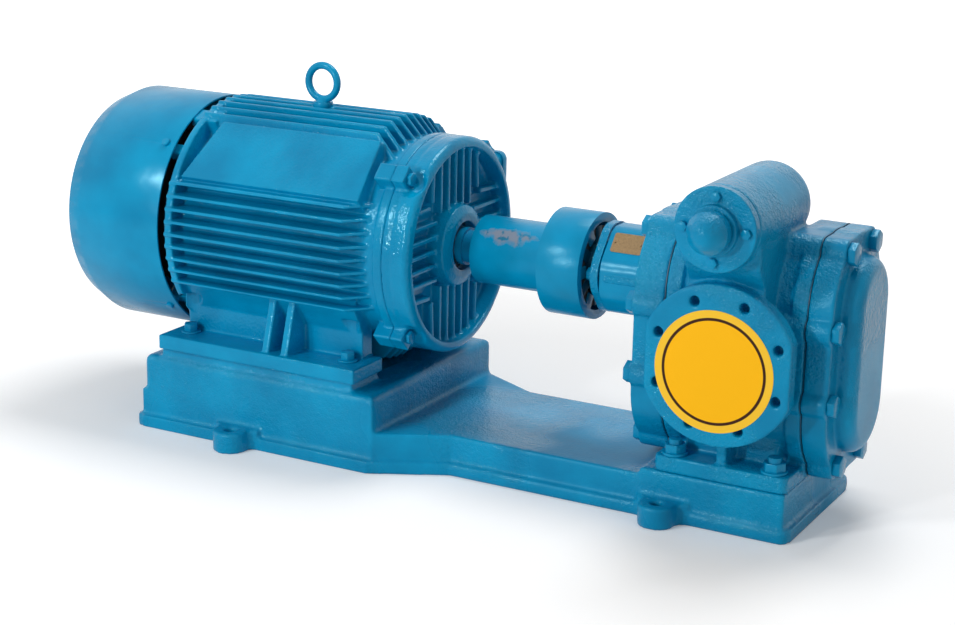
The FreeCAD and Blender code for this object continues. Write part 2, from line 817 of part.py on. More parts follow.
def make_fins():
    """Flat cooling fins in four upright and level rows, trimmed to a round envelope."""
    plates = []
    x_low = -barrel_far_end
    x_high = -barrel_near_end
    reach = fin_tip_radius + 5
    root = barrel_radius * 0.6
    for step in range(-4, 5):
        low = step * fin_pitch - fin_thickness / 2
        high = step * fin_pitch + fin_thickness / 2
        plates.append(block("fin_top", (x_low, low, shaft_height + root), (x_high, high, shaft_height + reach)))
    for step in range(-3, 4):
        low = step * fin_pitch - fin_thickness / 2
        high = step * fin_pitch + fin_thickness / 2
        plates.append(block("fin_low", (x_low, low, shaft_height - reach), (x_high, high, shaft_height - root)))
    for step in range(-4, 5):
        low = shaft_height + step * fin_pitch - fin_thickness / 2
        high = shaft_height + step * fin_pitch + fin_thickness / 2
        plates.append(block("fin_side", (x_low, -reach, low), (x_high, -root, high)))
        plates.append(block("fin_side", (x_low, root, low), (x_high, reach, high)))
    inside = barrel_radius - fin_thickness
    sweep_start = barrel_near_end + fin_end_margin
    envelope = turned("fin_envelope", [
        (-barrel_far_end, inside),
        (-sweep_start, inside),
        (-sweep_start - fin_sweep, fin_tip_radius),
        (-barrel_far_end, fin_tip_radius),
    ])
    return common("fins", fused("fin_plates", plates), envelope)


def label_pad(side):
    """The raised flat band of the casting between the top and the side fins."""
    name = "label_pad_%d" % (side + 1)
    body = new_body(name, (0, 0, shaft_height), Rotation(Vector(1, 0, 0), -45 * side))
    sketch = new_sketch(body, name + "_plan", "XY_Plane")
    start = -barrel_far_end + label_pad_start
    end = -barrel_near_end - fin_end_margin - fin_sweep / 2
    outline(sketch, [
        (start, side * label_pad_half),
        (end, side * label_pad_half),
        (end - label_pad_slant / 4, -side * label_pad_half),
        (start + label_pad_slant, -side * label_pad_half),
    ])
    pad(body, sketch, name + "_pad", label_pad_reach)
    return body


def make_motor_frame():
    """The finned motor barrel with its feet, legs, lugs and eye boss."""
    barrel = turned("barrel", [
        (-barrel_far_end, barrel_bore),
        (-barrel_near_end, barrel_bore),
        (-barrel_near_end, shield_rim_radius),
        (-barrel_near_end - shield_web, shield_rim_radius),
        (-barrel_near_end - shield_web, barrel_radius),
        (-barrel_far_end + end_rim_width, barrel_radius),
        (-barrel_far_end + end_rim_width, end_rim_radius),
        (-barrel_far_end, end_rim_radius),
    ])
    pieces = [barrel, make_fins(), label_pad(-1), label_pad(1)]
    boss_root = shaft_height + barrel_radius - 20
    pieces.append(rod("eye_boss", "z", eye_boss_radius, boss_root, shaft_height + eye_boss_height, (-eye_place, 0)))
    lug_length = shield_lug_radius * 2
    for angle in shield_lug_angles:
        pieces.append(radial_block("near_lug", lug_block(-barrel_near_end - lug_length, lug_length), angle))
    for angle in fan_lug_angles:
        pieces.append(radial_block("far_lug", lug_block(-barrel_far_end, lug_length), angle))
    for side in (-1, 1):
        low, high = (-foot_half_width, -foot_inner_half) if side < 0 else (foot_inner_half, foot_half_width)
        pieces.append(block("foot", (-foot_far_end, low, motor_seat_height), (-foot_near_end, high, foot_top)))
        leg_out = foot_inner_half + leg_wall
        shoulder = shaft_height - barrel_radius * 0.4
        leg = mirrored([
            (foot_inner_half, motor_seat_height),
            (foot_inner_half, shaft_height - barrel_radius * 0.76),
            (leg_out + 14, shoulder),
            (leg_out + 24, shoulder - 16),
            (leg_out, shoulder - 58),
            (leg_out, motor_seat_height),
        ], side)
        far_leg = -foot_far_end + 18
        pieces.append(plate("leg_%d" % (side + 1), "YZ_Plane", leg, far_leg, foot_length - 36))
        rib = mirrored([
            (leg_out - 4, foot_top - 2),
            (foot_half_width - 5, foot_top - 2),
            (leg_out + 24, shoulder - 16),
            (leg_out - 4, shoulder - 56),
        ], side)
        for number, share in enumerate((0.53, 0.625)):
            start = -foot_far_end + foot_length * share
            pieces.append(plate("leg_rib_%d_%d" % (side + 1, number), "YZ_Plane", rib, start, leg_rib_thickness))
    box_low = (-box_near_end - box_length, barrel_radius * 0.7, box_top - box_height)
    pieces.append(block("box_saddle", box_low, (-box_near_end, box_inner_face, box_top)))
    tools = [rod("frame_bore", "x", barrel_bore, -barrel_far_end - 1, -barrel_near_end + 1, (0, shaft_height))]
    depth = lug_length - 2
    radius = shield_bolt_radius + thread_gap
    for point in polar_places(shield_lug_angles, shield_lug_place):
        tools.append(rod("near_hole", "x", radius, -barrel_near_end - depth, -barrel_near_end, point))
    for point in polar_places(fan_lug_angles, shield_lug_place):
        tools.append(rod("far_hole", "x", radius, -barrel_far_end, depth - barrel_far_end, point))
    for place_x in (foot_hole_near, foot_hole_far):
        for side in (-1, 1):
            across = (-place_x, side * foot_hole_half)
            tools.append(rod("foot_hole", "z", foot_bolt_radius + 1.5, motor_seat_height - 1, foot_top + 1, across))
            tools.append(rod("foot_face", "z", foot_washer_radius + 1, foot_top, foot_top + 60, across))
    eye_top = shaft_height + eye_boss_height
    tools.append(rod("eye_hole", "z", eye_thread_radius + thread_gap, eye_top - eye_thread_length - 2, eye_top, (-eye_place, 0)))
    tools.append(rod("eye_face", "z", eye_collar_radius + 1, eye_top, eye_top + 20, (-eye_place, 0)))
    box_middle = box_top - box_height / 2
    lead_x = -box_near_end - box_length / 2
    tools.append(rod("lead_hole", "y", 14, barrel_bore - 20, box_inner_face + 1, (lead_x, box_middle)))
    node(cut("frame_cut", fused("frame_whole", pieces), tools), "motor_frame")


def shield_ribs(start, end):
    """Upright ribs above and below the boss, level ribs beside it."""
    ribs = []
    steps = range(-3, 4)
    rim = shield_mouth_radius + 5
    half = shield_rib_width / 2
    for step in steps:
        middle = step * shield_rib_pitch
        root = max(float(shield_boss_radius) - 8, abs(float(middle)) + 6)
        tip = math.sqrt(float(rim) ** 2 - (abs(float(middle)) + float(half)) ** 2)
        for side in (-1, 1):
            near, far = (-tip, -root) if side < 0 else (root, tip)
            ribs.append(block("upright_rib", (start, middle - half, shaft_height + near), (end, middle + half, shaft_height + far)))
            ribs.append(block("level_rib", (start, near, shaft_height + middle - half), (end, far, shaft_height + middle + half)))
    return ribs


def make_drive_end_shield():
    """The ribbed end shield on the coupling side with its bearing seat."""
    web_face = -barrel_near_end + shield_web
    boss_face = -shield_face + 5
    seat = -barrel_near_end + bearing_width + 1
    disc = turned("near_disc", [
        (-barrel_near_end - shield_spigot, barrel_bore - 14),
        (-barrel_near_end - shield_spigot, barrel_bore - seat_gap),
        (-barrel_near_end, barrel_bore - seat_gap),
        (-barrel_near_end, shield_rim_radius),
        (-barrel_near_end + shield_spigot, shield_rim_radius, shield_depth + shield_spigot, 1),
        (-shield_face - 4, shield_face_radius),
        (-shield_face, shield_face_radius - 6),
        (-shield_face, shield_mouth_radius),
        (web_face, shield_mouth_radius - 4),
        (web_face, shield_boss_radius + 2),
        (boss_face - 6, shield_boss_radius - 2),
        (boss_face, shield_boss_crown),
        (boss_face, rotor_seat_radius + 3),
        (seat, rotor_seat_radius + 3),
        (seat, bearing_outer + running_gap),
        (-barrel_near_end, bearing_outer + running_gap),
        (-barrel_near_end, barrel_bore - 14),
    ])
    pieces = [disc] + shield_ribs(web_face - 1, web_face + shield_rib_rise)
    tools = []
    for angle in shield_lug_angles:
        pieces.append(radial_block("near_shield_lug", lug_block(-barrel_near_end, shield_web + 4), angle))
    for y, z in polar_places(shield_lug_angles, shield_lug_place):
        tools.append(rod("near_shield_hole", "x", shield_bolt_radius + 0.4, -barrel_near_end, web_face + 5, (y, z)))
        tools.append(rod("near_head_room", "x", shield_lug_radius - 1, web_face + 4, -shield_face + 1, (y, z)))
    node(cut("near_shield", fused("near_shield_whole", pieces), tools), "drive_end_shield")


def make_fan_end_shield():
    """The end shield under the cowl, with four bosses that carry the cowl."""
    web_face = -barrel_far_end - shield_web
    seat = -barrel_far_end - bearing_width - 3
    disc = turned("far_disc", [
        (-barrel_far_end + shield_spigot, barrel_bore - 14),
        (-barrel_far_end + shield_spigot, barrel_bore - seat_gap),
        (-barrel_far_end, barrel_bore - seat_gap),
        (-barrel_far_end, shield_rim_radius),
        (web_face, shield_rim_radius),
        (web_face, shield_boss_radius),
        (-fan_shield_face, shield_boss_radius),
        (-fan_shield_face, bearing_bore - 2),
        (seat, bearing_bore - 2),
        (seat, bearing_outer + running_gap),
        (-barrel_far_end, bearing_outer + running_gap),
        (-barrel_far_end, barrel_bore - 14),
    ])
    pieces = [disc]
    tools = []
    for angle in fan_lug_angles:
        pieces.append(radial_block("far_shield_lug", lug_block(web_face, shield_web), angle))
    for y, z in polar_places(fan_lug_angles, shield_lug_place):
        tools.append(rod("far_shield_hole", "x", shield_bolt_radius + 0.4, web_face - 1, -barrel_far_end, (y, z)))
    for angle in cowl_screw_angles:
        start = shield_rim_radius - 12
        boss_end = cowl_radius - cowl_wall - clear_gap
        pieces.append(radial_rod("cowl_boss", cowl_screw_radius * 3, cowl_screw_place, start, boss_end, angle))
        tools.append(radial_rod("cowl_boss_hole", cowl_screw_radius + thread_gap, cowl_screw_place, start, boss_end + 1, angle))
        arm = (-cowl_screw_place, cowl_screw_place - barrel_far_end, start, boss_end - 10, cowl_screw_radius * 6)
        pieces.append(radial_block("cowl_arm", arm, angle))
    node(cut("far_shield", fused("far_shield_whole", pieces), tools), "fan_end_shield")


def radial_rod(name, radius, place_x, start, end, angle):
    """A cylinder that points away from the shaft axis at an angle."""
    cylinder = doc.addObject("Part::Cylinder", name)
    bind(cylinder, "Radius", radius)
    bind(cylinder, "Height", end - start)
    turn = Rotation(Vector(0, 0, 1), Vector(0, cosine(angle), sine(angle)))
    place(cylinder, (-place_x, start * cosine(angle), shaft_height + start * sine(angle)), turn)
    return cylinder


def lug_block(start_x, depth):
    """Reach of a square bolt lug of the motor: place along the shaft, depth, radii and width."""
    inner = shield_lug_place - shield_lug_radius * 2
    return (start_x, depth, inner, shield_lug_place + shield_lug_radius, shield_lug_radius * 2)


def radial_block(name, reach, angle):
    """A box that points away from the shaft axis at an angle."""
    start_x, depth, start, end, width = reach
    arm = doc.addObject("Part::Box", name)
    bind(arm, "Length", end - start)
    bind(arm, "Width", width)
    bind(arm, "Height", depth)
    outward = Vector(0, cosine(angle), sine(angle))
    across = Vector(0, -sine(angle), cosine(angle))
    turn = Rotation(outward, across, Vector(1, 0, 0), "ZXY")
    corner_y = start * cosine(angle) + width / 2 * sine(angle)
    corner_z = shaft_height + start * sine(angle) - width / 2 * cosine(angle)
    place(arm, (start_x, corner_y, corner_z), turn)
    return arm


def make_motor_inside():
    """Stator, winding heads, rotor, shaft, bearings and their key."""
    core_near = -barrel_middle + stator_length / 2
    core_far = -barrel_middle - stator_length / 2
    node(turned("stator", [
        (core_far, stator_bore),
        (core_near, stator_bore),
        (core_near, barrel_bore - seat_gap),
        (core_far, barrel_bore - seat_gap),
    ]), "stator_core")
    heads = []
    for name, start, end in (("near", core_near, core_near + winding_overhang), ("far", core_far - winding_overhang, core_far)):
        heads.append(turned("winding_" + name, [
            (start, stator_bore + 8),
            (end, stator_bore + 8),
            (end, barrel_bore - 8),
            (start, barrel_bore - 8),
        ]))
    pair = doc.addObject("Part::Compound", "winding_heads")
    pair.Links = heads
    node(pair, "stator_winding")
    node(turned("rotor", [
        (core_far, rotor_seat_radius + seat_gap / 2),
        (core_near, rotor_seat_radius + seat_gap / 2),
        (core_near, stator_bore - air_gap),
        (core_far, stator_bore - air_gap),
    ]), "rotor_core")
    near_bearing = -barrel_near_end + 1
    far_bearing = -barrel_far_end - bearing_width - 3
    shaft = turned("rotor_shaft", [
        (-fan_place - fan_depth - 12, 0),
        (-fan_place - fan_depth - 12, fan_seat_radius),
        (far_bearing - 4, fan_seat_radius),
        (far_bearing - 4, bearing_bore - 4),
        (far_bearing, bearing_bore - 4),
        (far_bearing, bearing_bore),
        (far_bearing + bearing_width, bearing_bore),
        (far_bearing + bearing_width, rotor_seat_radius),
        (near_bearing, rotor_seat_radius),
        (near_bearing, bearing_bore),
        (-motor_shaft_shoulder, bearing_bore),
        (-motor_shaft_shoulder, motor_shaft_radius),
        (-motor_shaft_end, motor_shaft_radius),
        (-motor_shaft_end, 0),
    ])
    slot = key_block("motor_shaft_slot", motor_key_start, motor_key_length, motor_shaft_radius, motor_key_width, 0)
    node(cut("rotor_shaft_cut", shaft, [slot]), "motor_shaft")
    node(key_block("motor_key", motor_key_start, motor_key_length, motor_shaft_radius, motor_key_width, seat_gap), "coupling_key_motor")
    for label, start in (("motor_bearing_drive_end", near_bearing), ("motor_bearing_fan_end", far_bearing)):
        end = start + bearing_width
        node(turned(label + "_ring", [
            (start, bearing_bore + running_gap),
            (end, bearing_bore + running_gap),
            (end, bearing_bore + 9),
            (end - 2, bearing_bore + 9),
            (end - 2, bearing_outer - 8),
            (end, bearing_outer - 8),
            (end, bearing_outer),
            (start, bearing_outer),
        ]), label)


def key_block(name, start, length, shaft_radius, width, gap, height=shaft_height):
    """A parallel key on top of a shaft, or its slot when the gap is zero."""
    low = (-start - length + gap, -width / 2 + gap, height + shaft_radius - width / 3 + gap)
    high = (-start - gap, width / 2 - gap, height + shaft_radius + width / 3 - gap)
    return block(name, low, high)


def make_fan_and_cowl():
    """The radial fan and its spun sheet cowl with an inlet grille."""
    body = new_body("fan", (0, 0, shaft_height))
    hub = new_sketch(body, "fan_hub_profile", "XZ_Plane")
    back = -fan_place
    front = -fan_place - fan_depth
    outline(hub, [
        (front, fan_seat_radius + seat_gap / 2),
        (back, fan_seat_radius + seat_gap / 2),
        (back, fan_radius * 0.8),
        (back - 4, fan_radius * 0.8),
        (back - 4, fan_seat_radius + 14),
        (front, fan_seat_radius + 12),
    ])
    revolved(body, hub, "fan_hub")
    blade = new_sketch(body, "fan_blade_plan", "YZ_Plane", front)
    outline(blade, rectangle(fan_seat_radius + 10, fan_radius, -2.5, 2.5))
    feature = pad(body, blade, "fan_blade", fan_depth - 1)
    polar(body, feature, "fan_blades", (blade, ["N_Axis"]), 8)
    node(body, "cooling_fan")
    cover = new_body("cowl", (0, 0, shaft_height))
    profile = new_sketch(cover, "cowl_profile", "XZ_Plane")
    inner_end = -cowl_end + cowl_wall
    bevel_middle = -cowl_end + cowl_bevel * 0.25
    bevel_radius = cowl_end_radius + (cowl_radius - cowl_end_radius) * 0.55
    inset = cowl_wall * 0.8
    outline(profile, [
        (-cowl_end, 0),
        (-cowl_end, cowl_end_radius),
        (bevel_middle, bevel_radius),
        (-cowl_end + cowl_bevel, cowl_radius),
        (-cowl_mouth, cowl_radius),
        (-cowl_mouth, cowl_radius - cowl_wall),
        (-cowl_end + cowl_bevel + inset, cowl_radius - cowl_wall),
        (bevel_middle + inset, bevel_radius - inset),
        (inner_end, cowl_end_radius - inset),
        (inner_end, 0),
    ])
    revolved(cover, profile, "cowl_shell")
    slots = new_sketch(cover, "cowl_slot_plan", "YZ_Plane", -cowl_end - 1)
    half = grille_slot_width / 2
    outline(slots, [
        (grille_slot_inner, -half),
        (grille_slot_outer, -half),
        (grille_slot_outer, half),
        (grille_slot_inner, half),
    ])
    slot = pocket(cover, slots, "cowl_slot", cowl_wall + 3, back=True)
    polar(cover, slot, "cowl_slots", (slots, ["N_Axis"]), 18)
    holes = []
    for angle in cowl_screw_angles:
        low = cowl_radius - cowl_wall - 4
        holes.append(radial_rod("cowl_hole", cowl_screw_radius + 0.3, cowl_screw_place, low, cowl_radius + 4, angle))
    node(cut("cowl_cut", cover, holes), "fan_cowl")


def make_eyebolt():
    """The lifting eye with its collar and screwed shank."""
    base = shaft_height + eye_boss_height
    ring_middle = base + eye_collar_height + eye_ring_radius + eye_ring_wire * 0.7
    ring = doc.addObject("Part::Torus", "eye_ring")
    bind(ring, "Radius1", eye_ring_radius)
    bind(ring, "Radius2", eye_ring_wire)
    place(ring, (-eye_place, 0, ring_middle), Rotation(Vector(1, 0, 0), 90))
    collar = rod("eye_collar", "z", eye_collar_radius, base, base + eye_collar_height, (-eye_place, 0))
    neck = doc.addObject("Part::Cone", "eye_neck")
    bind(neck, "Radius1", eye_collar_radius * 0.75)
    bind(neck, "Radius2", eye_ring_wire)
    bind(neck, "Height", eye_ring_wire * 1.3)
    place(neck, (-eye_place, 0, base + eye_collar_height))
    shank = rod("eye_shank", "z", eye_thread_radius, base - eye_thread_length, base, (-eye_place, 0))
    node(fused("eye", [ring, collar, neck, shank]), "eyebolt")


def round_rectangle(x_low, x_high, y_low, y_high, radius):
    """A rectangle with round corners."""
    return [
        (x_low + radius, y_low),
        (x_high - radius, y_low, radius, -1),
        (x_high, y_low + radius),
        (x_high, y_high - radius, radius, -1),
        (x_high - radius, y_high),
        (x_low + radius, y_high, radius, -1),
        (x_low, y_high - radius),
        (x_low, y_low + radius, radius, -1),
    ]


def box_outline(inset):
    """The terminal box seen from its lid, drawn in by a wall."""
    return round_rectangle(
        -box_near_end - box_length + inset, -box_near_end - inset,
        box_top - box_height + inset, box_top - inset, box_corner - inset / 2)


def lid_screw_points():
    """The four lid screws (x, z)."""
    inset = box_corner * 0.9
    x_places = (-box_near_end - box_length + inset, -box_near_end - inset)
    z_places = (box_top - box_height + inset, box_top - inset)
    return [(x, z) for x in x_places for z in z_places]


def make_terminal_box():
    """The cable box on the motor's far side, with lid, board and inlet."""
    depth = box_outer_face - box_inner_face
    shell = plate("box_shell", "XZ_Plane", box_outline(0), -box_inner_face, depth, back=True)
    inside = new_sketch(shell, "box_inside_plan", "XZ_Plane", -box_inner_face - box_wall)
    outline(inside, box_outline(box_wall))
    pocket(shell, inside, "box_inside", depth - box_wall, back=False)
    posts = []
    tools = []
    for x, z in lid_screw_points():
        posts.append(rod("box_post", "y", 7, box_inner_face + box_wall / 2, box_outer_face, (x, z)))
        tools.append(rod("box_post_hole", "y", lid_screw_radius + thread_gap, box_outer_face - 14, box_outer_face, (x, z)))
    middle_x = -box_near_end - box_length / 2
    middle_z = box_top - box_height / 2
    gland_y = (box_inner_face + box_outer_face) / 2
    low = box_top - box_height
    tools.append(rod("box_lead_hole", "y", 14, box_inner_face - 1, box_inner_face + box_wall + 1, (middle_x, middle_z)))
    tools.append(rod("box_inlet_hole", "z", gland_thread_radius + thread_gap, low - 1, low + box_wall + 4, (middle_x, gland_y)))
    node(cut("box_cut", fused("box_whole", [shell] + posts), tools), "terminal_box")
    lid = plate("box_lid", "XZ_Plane", box_outline(-2), -box_outer_face, lid_thickness, back=True)
    lid_holes = [
        rod("lid_hole", "y", lid_screw_radius + 0.4, box_outer_face - 1, box_outer_face + lid_thickness + 1, point)
        for point in lid_screw_points()
    ]
    node(cut("lid_cut", lid, lid_holes), "terminal_box_lid")
    head = rod("lid_screw_head", "z", lid_screw_radius * 1.8, 0, 3, (0, 0))
    shank = rod("lid_screw_shank", "z", lid_screw_radius, -(lid_thickness + 12), 0, (0, 0))
    outer = float(box_outer_face + lid_thickness)
    screw = fused("lid_screw", [head, shank])
    copies("terminal_box_screws", screw, [
        Placement(Vector(float(x), outer, float(z)), facing("y", 1)) for x, z in lid_screw_points()
    ])
    board_y = box_inner_face + box_wall
    board = block("board", (middle_x - 38, board_y, middle_z + 18), (middle_x + 38, board_y + 12, middle_z + 44))
    studs = [
        rod("board_stud", "y", 3, board_y + 11, board_y + 28, (middle_x + dx, middle_z + dz))
        for dx in (-24, 0, 24) for dz in (25, 37)
    ]
    node(fused("board_whole", [board] + studs), "terminal_board")
    gland_body = hexagon("inlet_hex", gland_flats, gland_hex_height, 0)
    gland_body.Placement.Rotation = Rotation()
    place(gland_body, (middle_x, gland_y, low - gland_hex_height))
    nose = rod("inlet_nose", "z", gland_thread_radius, low - gland_length, low + box_wall, (middle_x, gland_y))
    bore = rod("inlet_bore", "z", inlet_radius, low - gland_length - 1, low + box_wall + 1, (middle_x, gland_y))
    node(cut("inlet", fused("inlet_whole", [gland_body, nose]), [bore]), "cable_gland")


def make_coupling():
    """Motor half with a claw cup, pump half with claws, rubber star between them."""
    body = new_body("motor_half", (0, 0, shaft_height))
    profile = new_sketch(body, "motor_half_profile", "XZ_Plane")
    bore = motor_shaft_radius + seat_gap / 2
    outline(profile, [
        (-hub_far_end, bore),
        (-cup_recess_floor, bore),
        (-cup_recess_floor, cup_recess_radius),
        (-cup_near_face, cup_recess_radius),
        (-cup_near_face, cup_radius),
        (-cup_far_face, cup_radius),
        (-cup_far_face - 2, hub_radius),
        (-hub_far_end, hub_radius),
    ])
    revolved(body, profile, "motor_half_turn")
    claw = new_sketch(body, "cup_claw_plan", "YZ_Plane", -cup_recess_floor)
    outline(claw, rectangle(claw_inner_radius, cup_recess_radius + 2, -claw_width / 2, claw_width / 2))
    feature = pad(body, claw, "cup_claw", cup_recess_depth - 3)
    polar(body, feature, "cup_claws", (claw, ["N_Axis"]), claw_count)
    slot = key_block("hub_slot", motor_key_start - 3, hub_far_end - motor_key_start + 6, motor_shaft_radius, motor_key_width, 0)
    node(cut("motor_half_cut", body, [slot]), "coupling_motor_half")
    half = new_body("pump_half", (0, 0, shaft_height), Rotation(Vector(1, 0, 0), 30))
    near = -cup_near_face + pump_hub_reach
    far = -cup_recess_floor + spider_ring_depth + 1
    pump_bore = pump_shaft_end_radius + seat_gap / 2
    turn = new_sketch(half, "pump_half_profile", "XZ_Plane")
    outline(turn, [(far, pump_bore), (near, pump_bore), (near, pump_hub_radius), (far, pump_hub_radius)])
    revolved(half, turn, "pump_half_turn")
    tooth = new_sketch(half, "pump_claw_plan", "YZ_Plane", far)
    outline(tooth, rectangle(pump_hub_radius - 3, pump_claw_radius, -claw_width / 2, claw_width / 2))
    teeth = pad(half, tooth, "pump_claw", -cup_near_face - 4 - far)
    polar(half, teeth, "pump_claws", (tooth, ["N_Axis"]), claw_count)
    pump_slot = key_block("pump_hub_slot", -near - 1, near - far + 2, pump_shaft_end_radius, pump_key_width, 0)
    node(cut("pump_half_cut", half, [pump_slot]), "coupling_pump_half")
    star = new_body("star", (0, 0, shaft_height), Rotation(Vector(1, 0, 0), 15))
    ring = new_sketch(star, "star_ring_profile", "XZ_Plane")
    ring_near = -cup_recess_floor + spider_ring_depth
    inner = pump_hub_radius + 3
    outer = claw_inner_radius - clear_gap
    outline(ring, [
        (-cup_recess_floor, inner - 8), (ring_near, inner - 8), (ring_near, outer), (-cup_recess_floor, outer)])
    revolved(star, ring, "star_ring")
    cushion = new_sketch(star, "star_cushion_plan", "YZ_Plane", -cup_recess_floor)
    root = outer - 0.4
    root_half = (root * sine(15) - claw_width / 2 - clear_gap) / cosine(15)
    tip_half = (pump_claw_radius * sine(15) - claw_width / 2 - clear_gap) / cosine(15)
    outline(cushion, [
        (root, -root_half), (pump_claw_radius, -tip_half), (pump_claw_radius, tip_half), (root, root_half)])
    block_pad = pad(star, cushion, "star_cushion", cup_recess_depth - 5)
    polar(star, block_pad, "star_cushions", (cushion, ["N_Axis"]), claw_count * 2)
    node(star, "coupling_spider")


def screw_places(points, place_x, sign):
    """Placements of bolts whose heads look along X."""
    return [Placement(Vector(float(place_x), float(y), float(z)), facing("x", sign)) for y, z in points]


def add_bridges(body, name, start, depth):
    """The flat ledges that join the two top lugs and the two bottom lugs."""
    half = cover_bolt_place * cosine(cover_bolt_angles[0])
    rise = cover_bolt_place * sine(cover_bolt_angles[0])
    for part, low, high in (
            ("top", shaft_height + rise - cover_lug_radius, shaft_height + rise + cover_lug_radius),
            ("bottom", lower_height - rise - cover_lug_radius, lower_height - rise + cover_lug_radius)):
        bridge = new_sketch(body, "%s_%s_bridge_plan" % (name, part), "YZ_Plane", start)
        outline(bridge, rectangle(half * -1, half, low, high))
        pad(body, bridge, "%s_%s_bridge" % (name, part), depth)


def add_circles(body, name, points, radius, plane, offset):
    """One sketch with equal circles at many points."""
    sketch = new_sketch(body, name, plane, offset)
    for across, up in points:
        circle(sketch, across, up, radius)
    return sketch


def port_bolt_points():
    """The eight tapped holes (x, z) of a port flange, astride its centre line."""
    step = 360 / float(port_hole_count)
    angles = [step / 2 + step * number for number in range(int(port_hole_count.value))]
    return polar_places(angles, port_circle / 2, port_height)


